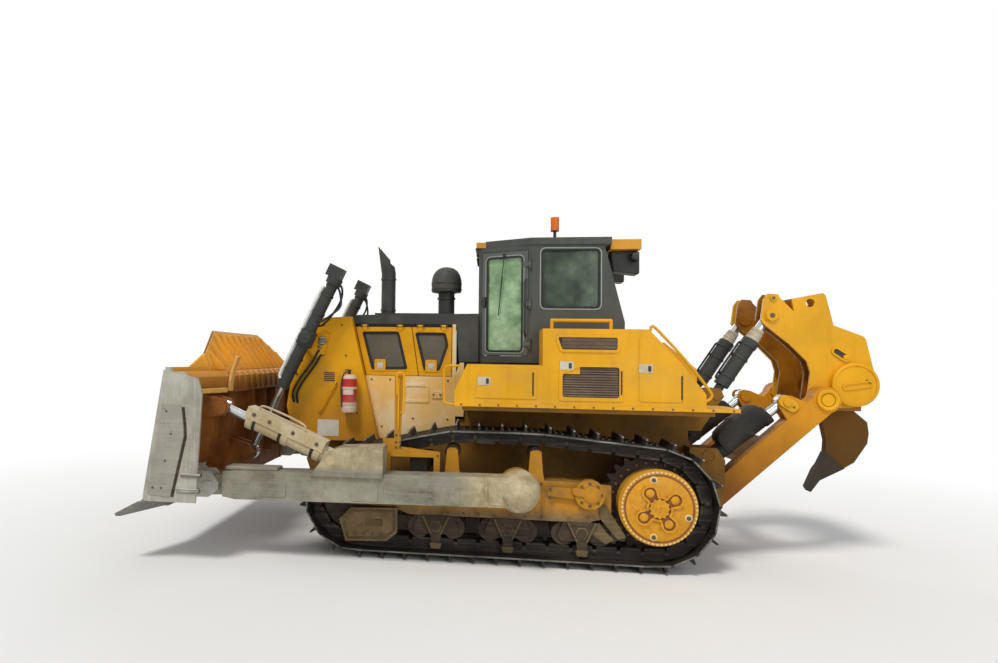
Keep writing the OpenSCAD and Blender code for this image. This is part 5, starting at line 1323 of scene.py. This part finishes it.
TILT_C, TILT_D, LIFT_E, LIFT_F = (-0.88, 1.93), (-1.505, 2.91), (-0.76, 1.19), (-1.58, 1.88)
RIPPER_TILT_Y, RIPPER_LIFT_Y = 0.43, 0.65
fold = np.linspace(0, 1, 25)
sleeve = lathe(np.stack([0.080 - 0.014 * fold ** 2 + 0.005 * np.sin(fold * 40) + 0.003 * np.sin(fold * 23),
                         0.155 * fold], 1),
               beside(TILT_C, TILT_D, 0.806, 0, RIPPER_TILT_Y), line_axis(TILT_C, TILT_D), 28)
sides("ripper_tilt_sleeves", sleeve, PALE, "ripper_tilt_rod")
TILT_PIPE = ((0.20, -0.085), (0.24, -0.108), (0.62, -0.108), (0.70, -0.108), (0.74, -0.085))
tilt_pipe = tube(smooth([beside(TILT_C, TILT_D, s, n, RIPPER_TILT_Y) for s, n in TILT_PIPE], 5), 0.013, 10)
sides("ripper_tilt_pipes", tilt_pipe, RUBBER, "ripper_tilt_barrel")


def lift_cover(s, top):
    """One ring of the cover over a ripper lift barrel: a rounded box from below its axis up to a height."""
    q = rounded(rect(-top, 0.045, 0.537, 0.763), 0.05, 5)
    return np.stack([beside(LIFT_E, LIFT_F, s, n, y) for n, y in q])


COVER_TOPS = ((0.19, 0.13), (0.20, 0.16), (0.24, 0.195), (0.30, 0.21), (0.45, 0.222), (0.47, 0.232),
              (0.50, 0.232), (0.52, 0.222), (0.66, 0.225), (0.74, 0.215), (0.79, 0.185), (0.81, 0.14))
covers = capped(np.stack([lift_cover(s, top) for s, top in COVER_TOPS])[::-1])
sides("ripper_lift_covers", covers, BLACK, "ripper_lift_barrel", 50)


def barrel_bands(low, high, y, r, spots):
    """Bands round a ripper barrel of radius r at some distances along it."""
    return join(*[strap(r + 0.0005, r + 0.008, 0.016, beside(low, high, s, 0, y), line_axis(low, high))
                  for s in spots])


sides("ripper_lift_bands", barrel_bands(LIFT_E, LIFT_F, RIPPER_LIFT_Y, 0.100, (0.25, 0.55)), LATCH,
      "ripper_lift_barrel")
sides("ripper_tilt_bands", barrel_bands(TILT_C, TILT_D, RIPPER_TILT_Y, 0.090, (0.28, 0.55)), LATCH,
      "ripper_tilt_barrel")

# Stack: clamps and lip; precleaner: dome and bands; extinguisher; rails, grab bars and the cab's base

STACK, CLEANER, BOTTLE_AT = (3.19, 0.25), (2.43, -0.06), (3.59, 0.8353)
bottle_x, bottle_y = BOTTLE_AT
RAIL_Y = 1.41
clamps = join(*[strap(0.0955, 0.103, 0.014, at(*STACK, z), UPWARD) for z in (2.965, 3.38)])
piece("exhaust_clamps", clamps, LATCH)


def stack_lip():
    """The pointed lip of the stack: a strip of its wall. Its top rises from both ends to the front: low + rise
    (1 + cos a) / 2."""
    a = np.linspace(-1.9, 1.9, 31)
    top = 3.57 + 0.255 * (1 + np.cos(a)) / 2
    wall = [(0.0968, np.full(31, 3.47)), (0.0968, top), (0.0925, top), (0.0925, np.full(31, 3.47))]
    ring = [np.stack([STACK[0] + SPROCKET_X + 0.1405 * (z - 3.46) + r * np.cos(a), STACK[1] + r * np.sin(a), z],
                     1) for r, z in wall]
    return capped(np.stack(ring, 1)[::-1])


piece("stack_lip", stack_lip(), DARK)
dome = lathe([(0.12, 3.228), (0.192, 3.232), (0.204, 3.245), (0.206, 3.36), (0.200, 3.415), (0.182, 3.475),
              (0.150, 3.525), (0.105, 3.560), (0.05, 3.578), (0.01, 3.581)], at(*CLEANER, 0), UPWARD, 48)
dome_bands = join(*[strap(0.206, 0.209, 0.008, at(*CLEANER, z), UPWARD, 48) for z in (3.27, 3.35)],
                  hoop([(0.110, 3.13), (0.122, 3.135), (0.122, 3.16), (0.110, 3.165)], at(*CLEANER, 0), UPWARD,
                       36))
piece("precleaner_dome", dome, DARK)
piece("precleaner_bands", dome_bands, LATCH)
valve = join(lathe([(0.022, 0), (0.022, 0.03), (0.016, 0.034), (0.016, 0.05), (0.024, 0.054), (0.024, 0.072),
                    (0.008, 0.078)], at(*BOTTLE_AT, 2.095), UPWARD, 20),
             bent_bar([(bottle_x - 0.02, bottle_y, 2.158), (bottle_x + 0.03, bottle_y, 2.170),
                       (bottle_x + 0.06, bottle_y, 2.16)], 0.007, 5, 8),
             bent_bar([(bottle_x + 0.01, bottle_y + 0.02, 2.145), (bottle_x + 0.06, bottle_y + 0.06, 2.12),
                       (bottle_x + 0.09, bottle_y + 0.075, 1.98), (bottle_x + 0.085, bottle_y + 0.07, 1.80),
                       (bottle_x + 0.08, bottle_y + 0.06, 1.70)], 0.009, 5, 8))
straps = join(*[strap(0.0952, 0.099, 0.016, at(*BOTTLE_AT, z), UPWARD) for z in (1.74, 1.94)])
piece("extinguisher_valve", valve, LATCH)
piece("extinguisher_straps", straps, BOTTLE)
shoulder = lathe([(0.0955, -0.002), (0.0955, 0.004), (0.091, 0.024), (0.076, 0.042), (0.052, 0.052),
                  (0.02, 0.055)], at(*BOTTLE_AT, 2.058), UPWARD, 36)
foot = lathe([(0.03, -0.004), (0.085, -0.003), (0.0965, 0.010), (0.0965, 0.05), (0.0955, 0.055)],
             at(*BOTTLE_AT, 1.64), UPWARD, 36)
piece("extinguisher_ends", join(shoulder, foot), BOTTLE)
rear_rail = bent_bar([(0.085, RAIL_Y, 2.675), (0.055, RAIL_Y, 2.725), (-0.05, RAIL_Y, 2.625),
                      (-0.29, RAIL_Y, 2.352), (-0.535, RAIL_Y, 2.03), (-0.555, RAIL_Y, 1.95),
                      (-0.495, RAIL_Y, 1.90)], 0.016, 6)
grabs = join(bent_bar([(2.897, 1.47, 1.90), (2.897, 1.498, 1.93), (2.897, 1.50, 2.13), (2.885, 1.50, 2.156),
                       (2.832, 1.50, 2.158), (2.82, 1.50, 2.13), (2.816, 1.50, 1.74), (2.825, 1.498, 1.71),
                       (2.86, 1.47, 1.69)], 0.013),
             bent_bar([(2.17, 1.40, 2.249), (2.31, 1.40, 2.249), (2.355, 1.40, 2.22), (2.362, 1.40, 2.16),
                       (2.358, 1.40, 1.87), (2.34, 1.40, 1.82), (2.21, 1.40, 1.80)], 0.014))
pair("grab_bars", grabs, YELLOW)
pair("rear_rails", rear_rail, YELLOW)
piece("cab_base", slab((1.94, -0.50, 1.85), (2.262, 0.50, 2.288), 0.01), LATCH)

# Camera, floor and light

PICTURE_W, FOCAL, MIDDLE_X, SENSOR = 998, 693.58, 382, 36.0  # the first three in pixels, the sensor in mm
FLOOR = 60
yaw, pitch, roll = math.radians(8.596), math.radians(2.001), math.radians(0.875)
ahead = np.array([math.sin(yaw) * math.cos(pitch), -math.cos(yaw) * math.cos(pitch), math.sin(pitch)])
right = np.array([-math.cos(yaw), -math.sin(yaw), 0.0])
up = np.cross(right, ahead)
r_axis = right * math.cos(roll) + up * math.sin(roll)
u_axis = -right * math.sin(roll) + up * math.cos(roll)
eye = bpy.data.objects.new("camera", bpy.data.cameras.new("camera"))
bpy.context.scene.collection.objects.link(eye)
pose = np.eye(4)
pose[:3, 0], pose[:3, 1], pose[:3, 2], pose[:3, 3] = r_axis, u_axis, -ahead, at(1.878, 9.465, 2.353)
eye.matrix_world = Matrix(pose.tolist())
eye.data.sensor_fit, eye.data.sensor_width = "HORIZONTAL", SENSOR
eye.data.lens = FOCAL / PICTURE_W * SENSOR
eye.data.shift_x = (PICTURE_W / 2 - MIDDLE_X) / PICTURE_W
eye.data.clip_end = 200
bpy.context.scene.camera = eye
bpy.context.scene.view_settings.view_transform = "Standard"

floor_mesh = bpy.data.meshes.new("floor")
floor_mesh.from_pydata([(-FLOOR, -FLOOR, 0), (FLOOR, -FLOOR, 0), (FLOOR, FLOOR, 0), (-FLOOR, FLOOR, 0)], [],
                       [(0, 1, 2, 3)])
floor = bpy.data.objects.new("floor", floor_mesh)
bpy.context.scene.collection.objects.link(floor)
s = Shader("pale_floor")
ground = s.done(s.mix(s.noise(0.4), (0.80, 0.80, 0.79), (0.84, 0.84, 0.83)), 0.9)
far = s.add("ShaderNodeVectorMath", Vector=s.place)
far.operation = "LENGTH"
rays = s.tree.nodes.new("ShaderNodeLightPath").outputs
seen_ray = s.math("MAXIMUM", s.math("MAXIMUM", rays["Is Camera Ray"], rays["Is Glossy Ray"]),
                  rays["Is Transmission Ray"])
fade = s.tree.nodes.new("ShaderNodeMixShader")
s.feed(fade.inputs[0], s.math("MULTIPLY", s.band(far.outputs["Value"], 5.0, 11.0), seen_ray))
s.feed(fade.inputs[1], s.bsdf.outputs[0])
s.feed(fade.inputs[2], s.add("ShaderNodeEmission", Color=(1, 1, 1), Strength=1.0).outputs[0])
s.feed(s.tree.nodes["Material Output"].inputs["Surface"], fade.outputs[0])
floor_mesh.materials.append(ground)

world = bpy.data.worlds.new("studio")
bpy.context.scene.world = world
world.use_nodes = True
tree = world.node_tree
tree.nodes.clear()
path = tree.nodes.new("ShaderNodeLightPath").outputs
seen = path["Is Camera Ray"]
for ray in ("Is Transmission Ray", "Is Glossy Ray"):
    either = tree.nodes.new("ShaderNodeMath")
    either.operation = "MAXIMUM"
    tree.links.new(seen, either.inputs[0])
    tree.links.new(path[ray], either.inputs[1])
    seen = either.outputs[0]
soft = tree.nodes.new("ShaderNodeBackground")
soft.inputs["Color"].default_value = (0.93, 0.96, 1.0, 1)
soft.inputs["Strength"].default_value = 0.42
white = tree.nodes.new("ShaderNodeBackground")
white.inputs["Color"].default_value = (1, 1, 1, 1)
blend = tree.nodes.new("ShaderNodeMixShader")
out = tree.nodes.new("ShaderNodeOutputWorld")
for socket, source in zip(blend.inputs, (seen, soft.outputs[0], white.outputs[0])):
    tree.links.new(source, socket)
tree.links.new(blend.outputs[0], out.inputs["Surface"])


def lamp(name, kind, energy, where, aim, size, colour=(1, 1, 1)):
    """A light placed at where and turned to face aim."""
    light = bpy.data.lights.new(name, kind)
    light.energy, light.color = energy, colour
    if kind == "SUN":
        light.angle = size
    else:
        light.shape, light.size = "DISK", size
    obj = bpy.data.objects.new(name, light)
    bpy.context.scene.collection.objects.link(obj)
    d = np.array(where, float) - np.array(aim, float)
    d /= np.linalg.norm(d)
    x = np.cross((0, 0, 1), d)
    x /= np.linalg.norm(x)
    m = np.eye(4)
    m[:3, 0], m[:3, 1], m[:3, 2], m[:3, 3] = x, np.cross(d, x), d, where
    obj.matrix_world = Matrix(m.tolist())


lamp("key", "SUN", 1.9, (4, 8, 15), (0, 0, 1), 0.25, (1.0, 0.97, 0.92))
lamp("fill", "AREA", 330, (-6, 12, 5), (0, 0, 1.5), 7)
lamp("back", "AREA", 330, (2, -12, 7), (0, 0, 1.5), 7)
